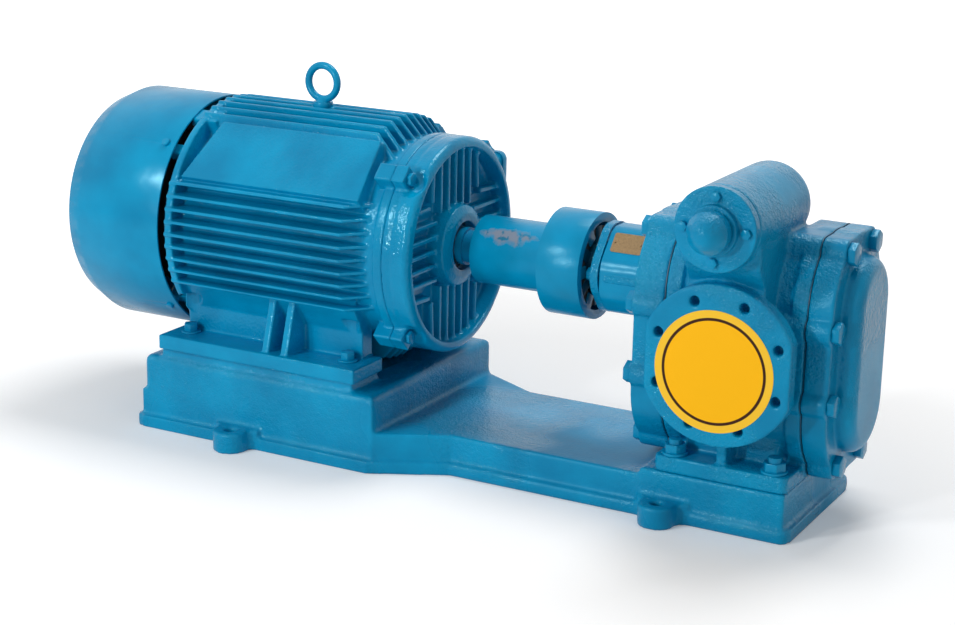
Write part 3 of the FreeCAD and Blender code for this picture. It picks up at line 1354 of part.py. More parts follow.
def make_casing():
    """The pump body: twin bores, two flanged ports, foot and valve chamber in one casting."""
    body = new_body("casing")
    middle = new_sketch(body, "casing_section", "YZ_Plane")
    obround(middle, casing_radius)
    pad(body, middle, "casing_middle", casing_half_length * 2, middle=True)
    lugs = cover_bolt_points()
    for name, rim_start, lug_start in (
            ("near", casing_half_length - casing_rim_depth, casing_half_length - cover_lug_length),
            ("far", -casing_half_length, -casing_half_length)):
        rim = new_sketch(body, name + "_rim_section", "YZ_Plane", rim_start)
        obround(rim, casing_rim_radius)
        pad(body, rim, name + "_rim", casing_rim_depth)
        for number, point in enumerate(lugs):
            lug = add_circles(body, "%s_lug_plan_%d" % (name, number), [point], cover_lug_radius, "YZ_Plane", lug_start)
            pad(body, lug, "%s_lug_%d" % (name, number), cover_lug_length)
        add_bridges(body, name, lug_start, cover_lug_length)
    neck = add_circles(body, "port_neck_plan", [(0, port_height)], port_neck_radius, "XZ_Plane", 0)
    pad(body, neck, "port_neck", port_face * 2, middle=True)
    for name, offset in (("near", port_face - port_flange_depth), ("far", -port_face)):
        flange = add_circles(body, name + "_flange_plan", [(0, port_height)], port_flange_radius, "XZ_Plane", offset)
        pad(body, flange, name + "_flange", port_flange_depth)
        flats = new_sketch(body, name + "_flats_plan", "XZ_Plane", offset)
        low = port_height - port_flange_radius
        high = port_height + port_flange_radius
        outline(flats, rectangle(port_flange_half, port_flange_radius + 1, low, high))
        outline(flats, rectangle(-port_flange_radius - 1, -port_flange_half, low, high))
        pocket(body, flats, name + "_flats", port_flange_depth, back=True)
    chamber = add_circles(body, "valve_body_plan", [(0, valve_axis_height)], valve_radius, "XZ_Plane", valve_mouth)
    pad(body, chamber, "valve_body", valve_mouth + valve_far_end, back=True)
    foot = new_sketch(body, "pump_foot_plan", "XY_Plane", pump_seat_height)
    half_length = pump_foot_length / 2
    outline(foot, round_rectangle(-half_length, half_length, -pump_foot_half, pump_foot_half, 10))
    pad(body, foot, "pump_foot", pump_foot_top - pump_seat_height)
    saddle = new_sketch(body, "saddle_plan", "XY_Plane", pump_seat_height)
    outline(saddle, rectangle(-half_length * 0.7, half_length * 0.7, -casing_radius * 0.9, casing_radius * 0.9))
    pad(body, saddle, "saddle", lower_height - pump_seat_height)
    rib = new_sketch(body, "port_rib_section", "YZ_Plane")
    for side in (-1, 1):
        outline(rib, mirrored([
            (casing_radius * 0.7, pump_foot_top - 2),
            (pump_foot_half - port_rib_width / 2, pump_foot_top - 2),
            (port_face - port_flange_depth + 2, port_height - port_neck_radius * 0.85),
            (casing_radius * 0.7, port_height - port_neck_radius * 0.85),
        ], side))
    pad(body, rib, "port_ribs", port_rib_width, middle=True)
    web = new_sketch(body, "valve_web_section", "YZ_Plane")
    web_low = port_height + port_neck_radius * 0.8
    web_out = -port_face + port_flange_depth
    web_far = valve_far_end - valve_rounding - 1
    outline(web, [
        (web_out - 2, web_low),
        (web_far, web_low),
        (web_far, valve_axis_height),
        (-valve_mouth + valve_web_slope, valve_axis_height),
        (-valve_mouth + valve_web_slope + 4, valve_axis_height - valve_radius * 0.93),
        (web_out - 2, port_height + port_flange_radius - 3),
    ])
    pad(body, web, "valve_web", valve_radius * 1.9, middle=True)
    riser = new_sketch(body, "riser_section", "YZ_Plane")
    outline(riser, riser_outline(relief_core_wall))
    pad(body, riser, "riser", relief_core_width + relief_core_wall * 2, middle=True)
    for name, height in (("upper", shaft_height), ("lower", lower_height)):
        bore = add_circles(body, name + "_bore_plan", [(0, height)], casing_bore, "YZ_Plane", 0)
        pocket(body, bore, name + "_bore", casing_half_length * 2 + 2, middle=True)
    passage = add_circles(body, "port_passage_plan", [(0, port_height)], port_passage, "XZ_Plane", 0)
    pocket(body, passage, "port_passages", port_face * 2 + 2, middle=True)
    for name, offset, back in (("near", port_face, False), ("far", -port_face, True)):
        port = add_circles(body, name + "_port_plan", [(0, port_height)], port_bore, "XZ_Plane", offset)
        pocket(body, port, name + "_port_bore", port_bore_depth, back=back)
    for name, offset, back in (("near", casing_half_length, False), ("far", -casing_half_length, True)):
        holes = add_circles(body, name + "_tapped_plan", lugs, cover_bolt_radius + thread_gap, "YZ_Plane", offset)
        pocket(body, holes, name + "_tapped", cover_lug_length - 12, back=back)
    for name, offset, back in (("near", port_face, False), ("far", -port_face, True)):
        holes = add_circles(body, name + "_port_hole_plan", port_bolt_points(), port_hole_radius, "XZ_Plane", offset)
        pocket(body, holes, name + "_port_holes", port_flange_depth - 3, back=back)
    studs = [(sign_x * pump_stud_place, sign_y * pump_stud_half) for sign_x in (-1, 1) for sign_y in (-1, 1)]
    stud_holes = add_circles(body, "foot_hole_plan", studs, pump_stud_radius + 1, "XY_Plane", pump_foot_top)
    pocket(body, stud_holes, "foot_holes", pump_foot_top - pump_seat_height + 1)
    cover_points = polar_places((0, 90, 180, 270), valve_bolt_circle, valve_axis_height)
    radius = valve_bolt_radius + thread_gap
    cover_holes = add_circles(body, "valve_cover_hole_plan", cover_points, radius, "XZ_Plane", valve_mouth)
    pocket(body, cover_holes, "valve_cover_holes", valve_bolt_depth)
    core = new_sketch(body, "chamber_profile", "YZ_Plane", 0, valve_axis_height)
    seat_far = -valve_seat_place + valve_seat_depth
    outline(core, [
        (-valve_mouth - 1, 0),
        (-valve_mouth - 1, valve_chamber_radius),
        (-valve_seat_place, valve_chamber_radius),
        (-valve_seat_place, valve_seat_bore * 1.5),
        (seat_far, valve_seat_bore * 1.5),
        (seat_far, valve_seat_bore),
        (seat_far + valve_seat_bore * 1.5, valve_seat_bore),
        (seat_far + valve_seat_bore * 1.5, 0),
    ])
    revolved(body, core, "chamber", groove=True)
    inlet = new_sketch(body, "relief_inlet_section", "YZ_Plane")
    outline(inlet, riser_outline(0))
    pocket(body, inlet, "relief_inlet", relief_core_width, middle=True)
    outlet = new_sketch(body, "relief_outlet_section", "YZ_Plane")
    low = port_height + port_bore * 0.8
    outline(outlet, rectangle(web_out, web_out + relief_core_width, low, valve_axis_height))
    pocket(body, outlet, "relief_outlet", relief_core_width, middle=True)
    rounded(body, body.Tip, "valve_end_round", valve_rounding, far_valve_edge)
    node(body, "pump_casing")


def riser_outline(wall):
    """The cored way from the far port up to the valve, grown by a wall."""
    half = relief_core_width / 2
    start = valve_far_end * 0.2
    knee = valve_far_end + relief_core_width
    out = port_face * 0.74
    low = port_height + port_bore * 0.8
    rise = valve_axis_height
    return [
        (start, rise - half - wall),
        (start, rise + half + wall * 0.5),
        (knee, rise + half + wall * 0.5),
        (knee + half + wall, rise),
        (out + half + wall, low + half),
        (out - half - wall * 0.6, low),
        (knee - half - wall * 0.6, rise - half - wall),
    ]


def far_valve_edge(edge):
    """Picks the rim of the valve body's closed end."""
    curve = edge.Curve
    if not isinstance(curve, Part.Circle):
        return False
    on_end = abs(edge.Vertexes[0].Point.y - float(valve_far_end)) < 0.01
    return on_end and abs(curve.Radius - float(valve_radius)) < 0.01


def cover_blank(name, start, depth):
    """A cover's flange with its bolt lugs."""
    body = new_body(name)
    section = new_sketch(body, name + "_section", "YZ_Plane", start)
    obround(section, casing_rim_radius)
    pad(body, section, name + "_flange", depth)
    for number, point in enumerate(cover_bolt_points()):
        lug = add_circles(body, "%s_lug_plan_%d" % (name, number), [point], cover_lug_radius, "YZ_Plane", start)
        pad(body, lug, "%s_lug_%d" % (name, number), depth)
    add_bridges(body, name, start, depth)
    return body


def make_front_cover():
    """The cover on the coupling side: bearing neck, packing box and gland ears."""
    body = cover_blank("front", -front_outer, front_cover_depth)
    neck = new_sketch(body, "neck_plan", "YZ_Plane", -neck_end)
    outline(neck, gland_outline())
    pad(body, neck, "neck", neck_end - front_outer + 1)
    through = add_circles(body, "shaft_way_plan", [(0, shaft_height)], journal_radius + 1, "YZ_Plane", -neck_end - 1)
    pocket(body, through, "shaft_way", neck_end + 2, back=True)
    box = add_circles(body, "packing_box_plan", [(0, shaft_height)], packing_outer, "YZ_Plane", -neck_end)
    pocket(body, box, "packing_box", packing_depth, back=True)
    well = add_circles(body, "driven_well_plan", [(0, lower_height)], journal_radius + 1, "YZ_Plane", -front_face)
    pocket(body, well, "driven_well", 8)
    holes = add_circles(body, "front_hole_plan", cover_bolt_points(), cover_bolt_radius + 0.5, "YZ_Plane", -front_outer - 1)
    pocket(body, holes, "front_holes", front_cover_depth + 2, back=True)
    studs = add_circles(body, "gland_stud_plan", gland_points(), gland_stud_radius + thread_gap, "YZ_Plane", -neck_end)
    pocket(body, studs, "gland_stud_holes", gland_ear_depth, back=True)
    node(body, "front_cover")


def gland_points():
    """The two gland studs (y, z)."""
    return [(-gland_stud_place, shaft_height), (gland_stud_place, shaft_height)]


def gland_outline():
    """The two-eared flange shape that the neck and the gland share."""
    end = gland_stud_place + gland_stud_radius * 0.8
    half = gland_stud_radius * 2
    waist = neck_radius * 0.42
    top = neck_radius
    return [
        (-end, shaft_height - half),
        (-waist, shaft_height - top),
        (waist, shaft_height - top),
        (end, shaft_height - half, half, -1),
        (end, shaft_height + half),
        (waist, shaft_height + top),
        (-waist, shaft_height + top),
        (-end, shaft_height + half, half, -1),
    ]


def make_rear_cover():
    """The closed cover with its raised bearing cap."""
    body = cover_blank("rear", front_face, rear_cover_depth)
    cap = new_sketch(body, "cap_section", "YZ_Plane", rear_outer - 1)
    obround(cap, cap_radius)
    crown = pad(body, cap, "cap", cap_rise + 1)
    end = float(rear_outer + cap_rise)
    rounded(body, crown, "cap_round", cap_rounding, lambda edge: all(
        abs(vertex.Point.x - end) < 0.01 for vertex in edge.Vertexes))
    wells = add_circles(
        body, "shaft_well_plan", [(0, shaft_height), (0, lower_height)], journal_radius + 1, "YZ_Plane", front_face)
    pocket(body, wells, "shaft_wells", 12, back=True)
    holes = add_circles(body, "rear_hole_plan", cover_bolt_points(), cover_bolt_radius + 0.5, "YZ_Plane", front_face - 1)
    pocket(body, holes, "rear_holes", rear_cover_depth + 2, back=True)
    node(body, "rear_cover")


def make_gaskets():
    """The two flat gaskets between casing and covers."""
    for label, start in (("front_gasket", -front_face), ("rear_gasket", casing_half_length)):
        body = cover_blank(label + "_sheet", start, gasket_thickness)
        for name, height in (("upper", shaft_height), ("lower", lower_height)):
            way = add_circles(body, label + "_" + name, [(0, height)], casing_bore, "YZ_Plane", start - 1)
            pocket(body, way, label + "_" + name + "_way", gasket_thickness + 2, back=True)
        holes = add_circles(body, label + "_hole_plan", cover_bolt_points(), cover_bolt_radius + 0.5, "YZ_Plane", start - 1)
        pocket(body, holes, label + "_holes", gasket_thickness + 2, back=True)
        node(body, label)


def make_cover_bolts():
    """The hexagon bolts of both covers."""
    for label, place_x, sign, depth in (
            ("front_cover_bolts", -front_outer, -1, front_cover_depth),
            ("rear_cover_bolts", rear_outer, 1, rear_cover_depth)):
        length = depth + gasket_thickness + cover_lug_length - 14
        bolt = hex_bolt(label + "_one", cover_bolt_radius, cover_bolt_flats, length)
        copies(label, bolt, screw_places(cover_bolt_points(), place_x, sign))


def make_blocks():
    """The two bearing blocks that fill the twin bore beside the gears, and their bushes."""
    start = gear_face / 2 + gear_side_gap
    for label, low in (("bearing_block_front", -casing_half_length), ("bearing_block_rear", start)):
        body = new_body(label + "_body")
        for name, height in (("upper", shaft_height), ("lower", lower_height)):
            disc = add_circles(body, label + name, [(0, height)], casing_bore - seat_gap, "YZ_Plane", low)
            pad(body, disc, label + name + "_disc", block_depth)
        ways = add_circles(
            body, label + "_way_plan", [(0, shaft_height), (0, lower_height)],
            journal_radius + bush_wall + seat_gap / 2, "YZ_Plane", low - 1)
        pocket(body, ways, label + "_ways", block_depth + 2, back=True)
        node(body, label)
    bush = turned("bush", [
        (0, journal_radius + running_gap),
        (block_depth - 1, journal_radius + running_gap),
        (block_depth - 1, journal_radius + bush_wall),
        (0, journal_radius + bush_wall),
    ], 0)
    places = []
    for place_x in (-casing_half_length + 0.5, start + 0.5):
        for height in (shaft_height, lower_height):
            places.append(Placement(Vector(float(place_x), 0, float(height)), Rotation()))
    copies("shaft_bushes", bush, places)


def involute(base_radius, angle):
    """A point of the involute of a circle, unrolled by an angle in radians."""
    return (
        base_radius * (math.cos(angle) + angle * math.sin(angle)),
        base_radius * (math.sin(angle) - angle * math.cos(angle)),
    )


def gear_wire(tooth_at):
    """A spur gear's outline in the YZ plane, one tooth centred on an angle in degrees."""
    count = int(gear_teeth.value)
    pitch_radius = float(gear_centres) / 2
    base_radius = pitch_radius * cosine(pressure_angle)
    root_radius = pitch_radius - 1.25 * float(gear_module)
    tip_radius = float(gear_tip_radius)
    tip_angle = math.sqrt((tip_radius / base_radius) ** 2 - 1)
    pitch_angle = math.sqrt((pitch_radius / base_radius) ** 2 - 1)
    px, py = involute(base_radius, pitch_angle)
    half_tooth = math.pi / (2 * count) - float(tooth_backlash) / (2 * pitch_radius)
    shift = half_tooth + math.atan2(py, px)
    edges = []
    flank_steps = 5
    for tooth in range(count):
        middle = math.radians(tooth_at) + 2 * math.pi * tooth / count
        flank = []
        for step in range(flank_steps):
            x, y = involute(base_radius, tip_angle * step / (flank_steps - 1))
            flank.append((math.hypot(x, y), math.atan2(y, x) - shift))
        rising = [polar_point(radius, middle + angle) for radius, angle in flank]
        falling = [polar_point(radius, middle - angle) for radius, angle in reversed(flank)]
        root_in = polar_point(root_radius, middle + flank[0][1])
        root_out = polar_point(root_radius, middle - flank[0][1])
        next_root = polar_point(root_radius, middle + 2 * math.pi / count + flank[0][1])
        bottom = polar_point(root_radius, middle + math.pi / count)
        edges.append(Part.LineSegment(root_in, rising[0]).toShape())
        edges.append(Part.makePolygon(rising))
        edges.append(Part.LineSegment(rising[-1], falling[0]).toShape())
        edges.append(Part.makePolygon(falling))
        edges.append(Part.LineSegment(falling[-1], root_out).toShape())
        edges.append(Part.Arc(root_out, bottom, next_root).toShape())
    flat = [edge for shape in edges for edge in shape.Edges]
    return Part.Wire(Part.__sortEdges__(flat))


def polar_point(radius, angle):
    """A point in the YZ plane from a radius and an angle in radians."""
    return Vector(0, radius * math.cos(angle), radius * math.sin(angle))


def make_gear(label, height, tooth_at):
    """One spur gear with its bore and keyway."""
    blank = doc.addObject("Part::Feature", label + "_blank")
    face = Part.Face(gear_wire(tooth_at))
    blank.Shape = face.extrude(Vector(float(gear_face), 0, 0))
    place(blank, (-gear_face / 2, 0, height))
    bore = rod(label + "_bore", "x", journal_radius + seat_gap / 2, -gear_face / 2 - 1, gear_face / 2 + 1, (0, height))
    way = key_block(label + "_way", -gear_face / 2 - 1, gear_face + 2, journal_radius, gear_key_width, 0, height)
    node(cut(label + "_cut", blank, [bore, way]), label)
    slot = key_block(label + "_slot", -gear_key_length / 2, gear_key_length, journal_radius, gear_key_width, 0, height)
    key = key_block(label + "_key_block", -gear_key_length / 2, gear_key_length, journal_radius, gear_key_width, seat_gap, height)
    node(key, label + "_key")
    return slot


def make_gears_and_shafts():
    """The meshed gear pair on its two shafts."""
    drive_slot = make_gear("drive_gear", shaft_height, -90)
    driven_slot = make_gear("driven_gear", lower_height, 90 + 180 / gear_teeth.value)
    pump_end = -cup_recess_floor + spider_ring_depth + 2
    step = -gland_outer - 1
    drive = turned("drive_bar", [
        (pump_end, 0),
        (pump_end, pump_shaft_end_radius),
        (step, pump_shaft_end_radius),
        (step, packing_shaft_radius),
        (-packing_floor + 4, packing_shaft_radius),
        (-packing_floor + 4, journal_radius),
        (casing_half_length + 6, journal_radius),
        (casing_half_length + 6, 0),
    ])
    key_start = -step + 8
    slot = key_block("pump_shaft_slot", key_start, pump_key_length, pump_shaft_end_radius, pump_key_width, 0)
    node(cut("drive_bar_cut", drive, [drive_slot, slot]), "drive_shaft")
    node(key_block("pump_key", key_start, pump_key_length, pump_shaft_end_radius, pump_key_width, seat_gap), "coupling_key_pump")
    reach = casing_half_length + 6
    driven = turned("driven_bar", [(-reach, 0), (-reach, journal_radius), (reach, journal_radius), (reach, 0)], lower_height)
    node(cut("driven_bar_cut", driven, [driven_slot]), "driven_shaft")


def make_packing_and_gland():
    """Packing rings round the shaft, pressed by the gland on two studs."""
    ring = turned("packing_ring", [
        (0, packing_shaft_radius + running_gap),
        (packing_ring_width - 0.1, packing_shaft_radius + running_gap),
        (packing_ring_width - 0.1, packing_outer - running_gap),
        (0, packing_outer - running_gap),
    ], 0)
    places = []
    for number in range(packing_ring_count):
        x = -packing_floor - packing_ring_width * (number + 1)
        places.append(Placement(Vector(float(x), 0, float(shaft_height)), Rotation()))
    copies("packing_rings", ring, places)
    body = new_body("gland_body")
    flange = new_sketch(body, "gland_plan", "YZ_Plane", -gland_outer)
    outline(flange, gland_outline())
    pad(body, flange, "gland_flange", gland_flange_depth)
    nose_end = -packing_floor - packing_ring_width * packing_ring_count - 0.2
    nose = add_circles(body, "gland_nose_plan", [(0, shaft_height)], packing_outer - 0.2, "YZ_Plane", -gland_outer)
    pad(body, nose, "gland_nose", gland_outer + nose_end)
    way = add_circles(body, "gland_way_plan", [(0, shaft_height)], packing_shaft_radius + 0.5, "YZ_Plane", -gland_outer - 1)
    pocket(body, way, "gland_way", gland_outer, back=True)
    holes = add_circles(body, "gland_hole_plan", gland_points(), gland_stud_radius + 0.5, "YZ_Plane", -gland_outer - 1)
    pocket(body, holes, "gland_holes", gland_flange_depth + 2, back=True)
    node(body, "gland_follower")
    reach = gland_outer + gland_nut_height + 1
    stud = rod("gland_stud", "z", gland_stud_radius, 0, reach - neck_end + gland_ear_depth - 1, (0, 0))
    nut = cut("gland_nut", hexagon("gland_nut_hex", gland_stud_radius * 3.2, gland_nut_height, 0), [
        rod("gland_nut_bore", "z", gland_stud_radius + running_gap, -1, gland_nut_height + 1, (0, 0))])
    root = float(-neck_end + gland_ear_depth - 1)
    copies("gland_studs", stud, screw_places(gland_points(), root, -1))
    copies("gland_nuts", nut, screw_places(gland_points(), -gland_outer, -1))


def upright_places(points, height):
    """Placements of upright fasteners."""
    return [Placement(Vector(float(x), float(y), float(height)), Rotation()) for x, y in points]


def make_foot_fasteners():
    """Studs and nuts under the pump, bolts and washers on the motor feet."""
    studs = [(sign_x * pump_stud_place, sign_y * pump_stud_half) for sign_x in (-1, 1) for sign_y in (-1, 1)]
    root = pump_seat_height - pump_stud_depth
    top = pump_foot_top + pump_nut_height + pump_stud_show
    stud = rod("pump_stud", "z", pump_stud_radius, 0, top - root, (0, 0))
    copies("pump_foot_studs", stud, upright_places(studs, root))
    nut = cut("pump_nut", hexagon("pump_nut_hex", pump_stud_radius * 3, pump_nut_height, 0), [
        rod("pump_nut_bore", "z", pump_stud_radius + running_gap, -1, pump_nut_height + 1, (0, 0))])
    copies("pump_foot_nuts", nut, upright_places(studs, pump_foot_top))
    points = [(-place_x, side * foot_hole_half) for place_x in (foot_hole_near, foot_hole_far) for side in (-1, 1)]
    washer = cut("foot_washer", rod("foot_washer_disc", "z", foot_washer_radius, 0, foot_washer_thickness, (0, 0)), [
        rod("foot_washer_bore", "z", foot_bolt_radius + 0.5, -1, foot_washer_thickness + 1, (0, 0))])
    copies("motor_foot_washers", washer, upright_places(points, foot_top))
    length = foot_washer_thickness + foot_thickness + base_roof - 4
    bolt = hex_bolt("foot_bolt", foot_bolt_radius, foot_bolt_flats, length)
    copies("motor_foot_bolts", bolt, upright_places(points, foot_top + foot_washer_thickness))


def make_motor_fasteners():
    """Bolts of both end shields and the screws of the cowl."""
    points = polar_places(shield_lug_angles, shield_lug_place)
    bolt = hex_bolt("near_shield_bolt", shield_bolt_radius, shield_bolt_flats, shield_web + 24)
    copies("shield_bolts_drive_end", bolt, screw_places(points, -barrel_near_end + shield_web + 4, 1))
    far = hex_bolt("far_shield_bolt", shield_bolt_radius, shield_bolt_flats, shield_web + 20)
    far_points = polar_places(fan_lug_angles, shield_lug_place)
    copies("shield_bolts_fan_end", far, screw_places(far_points, -barrel_far_end - shield_web, -1))
    head = rod("cowl_screw_head", "z", cowl_screw_radius * 2, 0, 4, (0, 0))
    shank = rod("cowl_screw_shank", "z", cowl_screw_radius, -14, 0, (0, 0))
    screw = fused("cowl_screw", [head, shank])
    places = []
    for angle in cowl_screw_angles:
        outward = Vector(0, cosine(angle), sine(angle))
        radius = float(cowl_radius)
        at = Vector(float(-cowl_screw_place), radius * outward.y, float(shaft_height) + radius * outward.z)
        places.append(Placement(at, Rotation(Vector(0, 0, 1), outward)))
    copies("cowl_screws", screw, places)


def make_relief_valve():
    """Seat, poppet, spring, spring plate, adjusting screw, cover and dome cap."""
    seat_face = -valve_seat_place
    node(turned("seat_ring", [
        (seat_face, valve_seat_bore),
        (seat_face + valve_seat_depth - 0.2, valve_seat_bore),
        (seat_face + valve_seat_depth - 0.2, valve_seat_bore * 1.5 - seat_gap / 2),
        (seat_face, valve_seat_bore * 1.5 - seat_gap / 2),
    ], valve_axis_height, "y"), "valve_seat")
    face = seat_face - clear_gap
    back = face - poppet_depth
    node(turned("poppet", [
        (back - 14, 0),
        (back - 14, spring_radius - spring_wire - 3),
        (back, spring_radius - spring_wire - 3),
        (back, poppet_radius),
        (face, poppet_radius),
        (face, valve_seat_bore - 1),
        (face + valve_seat_depth * 0.7, valve_seat_bore - 4),
        (face + valve_seat_depth * 0.7, 0),
    ], valve_axis_height, "y"), "valve_poppet")
    spring_near = back - clear_gap
    spring_far = spring_near - spring_length
    make_spring(spring_far, spring_near)
    plate_face = spring_far - clear_gap
    plate_back = plate_face - spring_plate_depth
    node(turned("plate_disc", [
        (plate_back, 0),
        (plate_back, poppet_radius),
        (plate_face, poppet_radius),
        (plate_face, spring_radius - spring_wire - 3),
        (plate_face + 12, spring_radius - spring_wire - 3),
        (plate_face + 12, 0),
    ], valve_axis_height, "y"), "spring_seat")
    cover_face = -valve_mouth - valve_cover_depth
    ring_face = cover_face - valve_ring_rise
    screw_end = ring_face - adjuster_show
    node(cut("adjuster_cut", rod("adjuster", "y", adjuster_radius, screw_end, plate_back, (0, valve_axis_height)), [
        block("adjuster_slot", (-1.5, screw_end - 1, valve_axis_height - adjuster_radius - 1),
              (1.5, screw_end + 3, valve_axis_height + adjuster_radius + 1))]), "adjusting_screw")
    cover = turned("valve_cover_disc", [
        (-valve_mouth + 6, adjuster_radius + running_gap),
        (-valve_mouth + 6, valve_chamber_radius - seat_gap),
        (-valve_mouth, valve_chamber_radius - seat_gap),
        (-valve_mouth, valve_radius),
        (cover_face, valve_radius),
        (cover_face, valve_ring_radius),
        (ring_face, valve_ring_radius),
        (ring_face, adjuster_radius + running_gap),
    ], valve_axis_height, "y")
    points = polar_places((0, 90, 180, 270), valve_bolt_circle, valve_axis_height)
    holes = [
        rod("valve_cover_hole", "y", valve_bolt_radius + 0.3, cover_face - 1, -valve_mouth + 1, point)
        for point in points
    ]
    node(cut("valve_cover_cut", cover, holes), "valve_cover")
    bolt = hex_bolt("valve_bolt", valve_bolt_radius, valve_bolt_flats, valve_cover_depth + valve_bolt_depth - 2)
    copies("valve_cover_bolts", bolt, [
        Placement(Vector(float(x), float(cover_face), float(z)), facing("y", -1)) for x, z in points])
    nut = cut("lock_nut", hexagon("lock_nut_hex", adjuster_radius * 3, lock_nut_height, 0), [
        rod("lock_nut_bore", "z", adjuster_radius + running_gap, -1, lock_nut_height + 1, (0, 0))])
    copies("adjuster_lock_nut", nut, [
        Placement(Vector(0, float(ring_face), float(valve_axis_height)), facing("y", -1))])
    rim = ring_face - clear_gap
    end = rim - valve_cap_length
    inner = valve_cap_radius - valve_cap_wall
    crown = valve_cap_radius * 0.5
    node(turned("dome_cap", [
        (rim, inner),
        (rim, valve_cap_radius),
        (end + crown, valve_cap_radius, valve_cap_radius * 0.9, -1),
        (end, crown * 0.7),
        (end, 0),
        (end + valve_cap_wall, 0),
        (end + valve_cap_wall, crown * 0.7),
        (end + valve_cap_wall + crown * 0.6, inner),
    ], valve_axis_height, "y"), "valve_cap")


def make_spring(start, end):
    """The coil spring along the valve axis."""
    spring = doc.addObject("Part::Feature", "spring_coil")
    length = float(end - start) - 2 * float(spring_wire)
    pitch = length / float(spring_turns)
    helix = Part.makeHelix(pitch, length, float(spring_radius))
    corners = []
    for step in range(7):
        angle = math.radians(60 * step)
        reach = float(spring_wire)
        corners.append(Vector(float(spring_radius) + reach * math.cos(angle), 0, reach * math.sin(angle)))
    profile = Part.makePolygon(corners)
    spring.Shape = Part.Wire(helix).makePipeShell([profile], True, True)
    place(spring, (0, start + spring_wire, valve_axis_height), facing("y", 1))
    node(spring, "valve_spring")


def write_parts():
    """Check every object and write one file for each piece."""
    for thing in doc.Objects:
        if "Invalid" in thing.State or "Error" in thing.State:
            raise RuntimeError("%s did not build: %s" % (thing.Name, thing.State))
    os.makedirs("parts", exist_ok=True)
    for name, thing in nodes.items():
        shape = thing.Shape
        if shape.isNull() or not shape.isValid() or not shape.Solids:
            raise RuntimeError("%s has no valid solid" % name)
    for name, thing in nodes.items():
        thing.Shape.exportStep("parts/%s.step" % name)
        box = thing.Shape.BoundBox
        print("%-26s solids %2d x %8.1f %8.1f y %7.1f %7.1f z %6.1f %6.1f" % (
            name, len(thing.Shape.Solids), box.XMin, box.XMax, box.YMin, box.YMax, box.ZMin, box.ZMax))
    print(len(nodes), "nodes")


def main():
    """Build the set from the base upwards."""
    make_base()
    make_motor_frame()
    make_drive_end_shield()
    make_fan_end_shield()
    make_motor_inside()
    make_fan_and_cowl()
    make_eyebolt()
    make_terminal_box()
    make_coupling()
    make_casing()
    make_front_cover()
    make_rear_cover()
    make_gaskets()
    make_cover_bolts()
    make_blocks()
    make_gears_and_shafts()
    make_packing_and_gland()
    make_foot_fasteners()
    make_motor_fasteners()
    make_relief_valve()
    doc.recompute()
    write_parts()


main()
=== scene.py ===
"""A foot-mounted motor that drives a flanged gear pump, dressed for a plain studio."""
import json
import logging
import math
from dataclasses import dataclass
from enum import Enum
from typing import Iterable, Optional, Union

import bmesh
import bpy
from mathutils import Matrix, Vector


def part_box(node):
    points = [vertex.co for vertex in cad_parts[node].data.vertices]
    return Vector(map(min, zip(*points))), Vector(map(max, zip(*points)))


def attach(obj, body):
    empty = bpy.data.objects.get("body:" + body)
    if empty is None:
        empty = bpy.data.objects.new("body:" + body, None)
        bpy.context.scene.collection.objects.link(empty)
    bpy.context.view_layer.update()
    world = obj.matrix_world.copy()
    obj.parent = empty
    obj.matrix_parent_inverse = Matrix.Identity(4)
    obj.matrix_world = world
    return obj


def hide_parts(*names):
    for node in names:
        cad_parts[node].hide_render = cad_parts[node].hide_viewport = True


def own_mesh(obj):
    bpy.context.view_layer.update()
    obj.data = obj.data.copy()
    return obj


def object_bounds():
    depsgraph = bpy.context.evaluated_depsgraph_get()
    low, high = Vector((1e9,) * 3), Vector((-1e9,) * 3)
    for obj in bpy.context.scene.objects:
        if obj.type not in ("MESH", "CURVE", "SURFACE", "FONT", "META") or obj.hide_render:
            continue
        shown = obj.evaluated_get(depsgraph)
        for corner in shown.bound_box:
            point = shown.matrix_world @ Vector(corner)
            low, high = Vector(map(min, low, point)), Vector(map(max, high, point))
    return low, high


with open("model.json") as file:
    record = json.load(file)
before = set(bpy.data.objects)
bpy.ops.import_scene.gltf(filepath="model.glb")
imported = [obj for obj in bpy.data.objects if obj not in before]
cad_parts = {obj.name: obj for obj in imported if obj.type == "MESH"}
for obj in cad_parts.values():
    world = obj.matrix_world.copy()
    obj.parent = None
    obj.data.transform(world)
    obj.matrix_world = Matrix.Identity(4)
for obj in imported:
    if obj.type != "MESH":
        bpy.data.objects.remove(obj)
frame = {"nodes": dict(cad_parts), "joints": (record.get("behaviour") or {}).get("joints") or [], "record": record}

log = logging.getLogger("gear_pump_set")
CAD_BOX = [list(corner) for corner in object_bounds()]
JOINTS = {joint["name"]: joint for joint in frame["joints"]}
MOUNTS = {mount["name"]: mount for mount in frame["record"]["mounts"]}
SHAFT_HEIGHT = JOINTS["motor_spin"]["pos_m"][2]

MILLIMETRE = 0.001
MERGE_DISTANCE = 0.01 * MILLIMETRE
FLAT_ANGLE = math.radians(1.0)
SHARP_ANGLE = math.radians(35.0)

# The paint mirrors its surroundings weakly, and in its own sea blue.
PAINT_IOR = 1.5
PAINT_GLOSS = 0.32
PAINT_GLINT = (0.45, 0.9, 1.0, 1.0)

Colour = tuple[float, float, float]
Outline = tuple[tuple[float, float], ...]
Socket = bpy.types.NodeSocket
Value = Union[Socket, float]


class Body(Enum):
    """The bodies that pieces ride on."""

    SET = "set"
    ROTOR = "rotor"
    DRIVE = "drive"
    GLAND = "gland"
    CAP = "cap"
    SPRING_PLATE = "spring_plate"


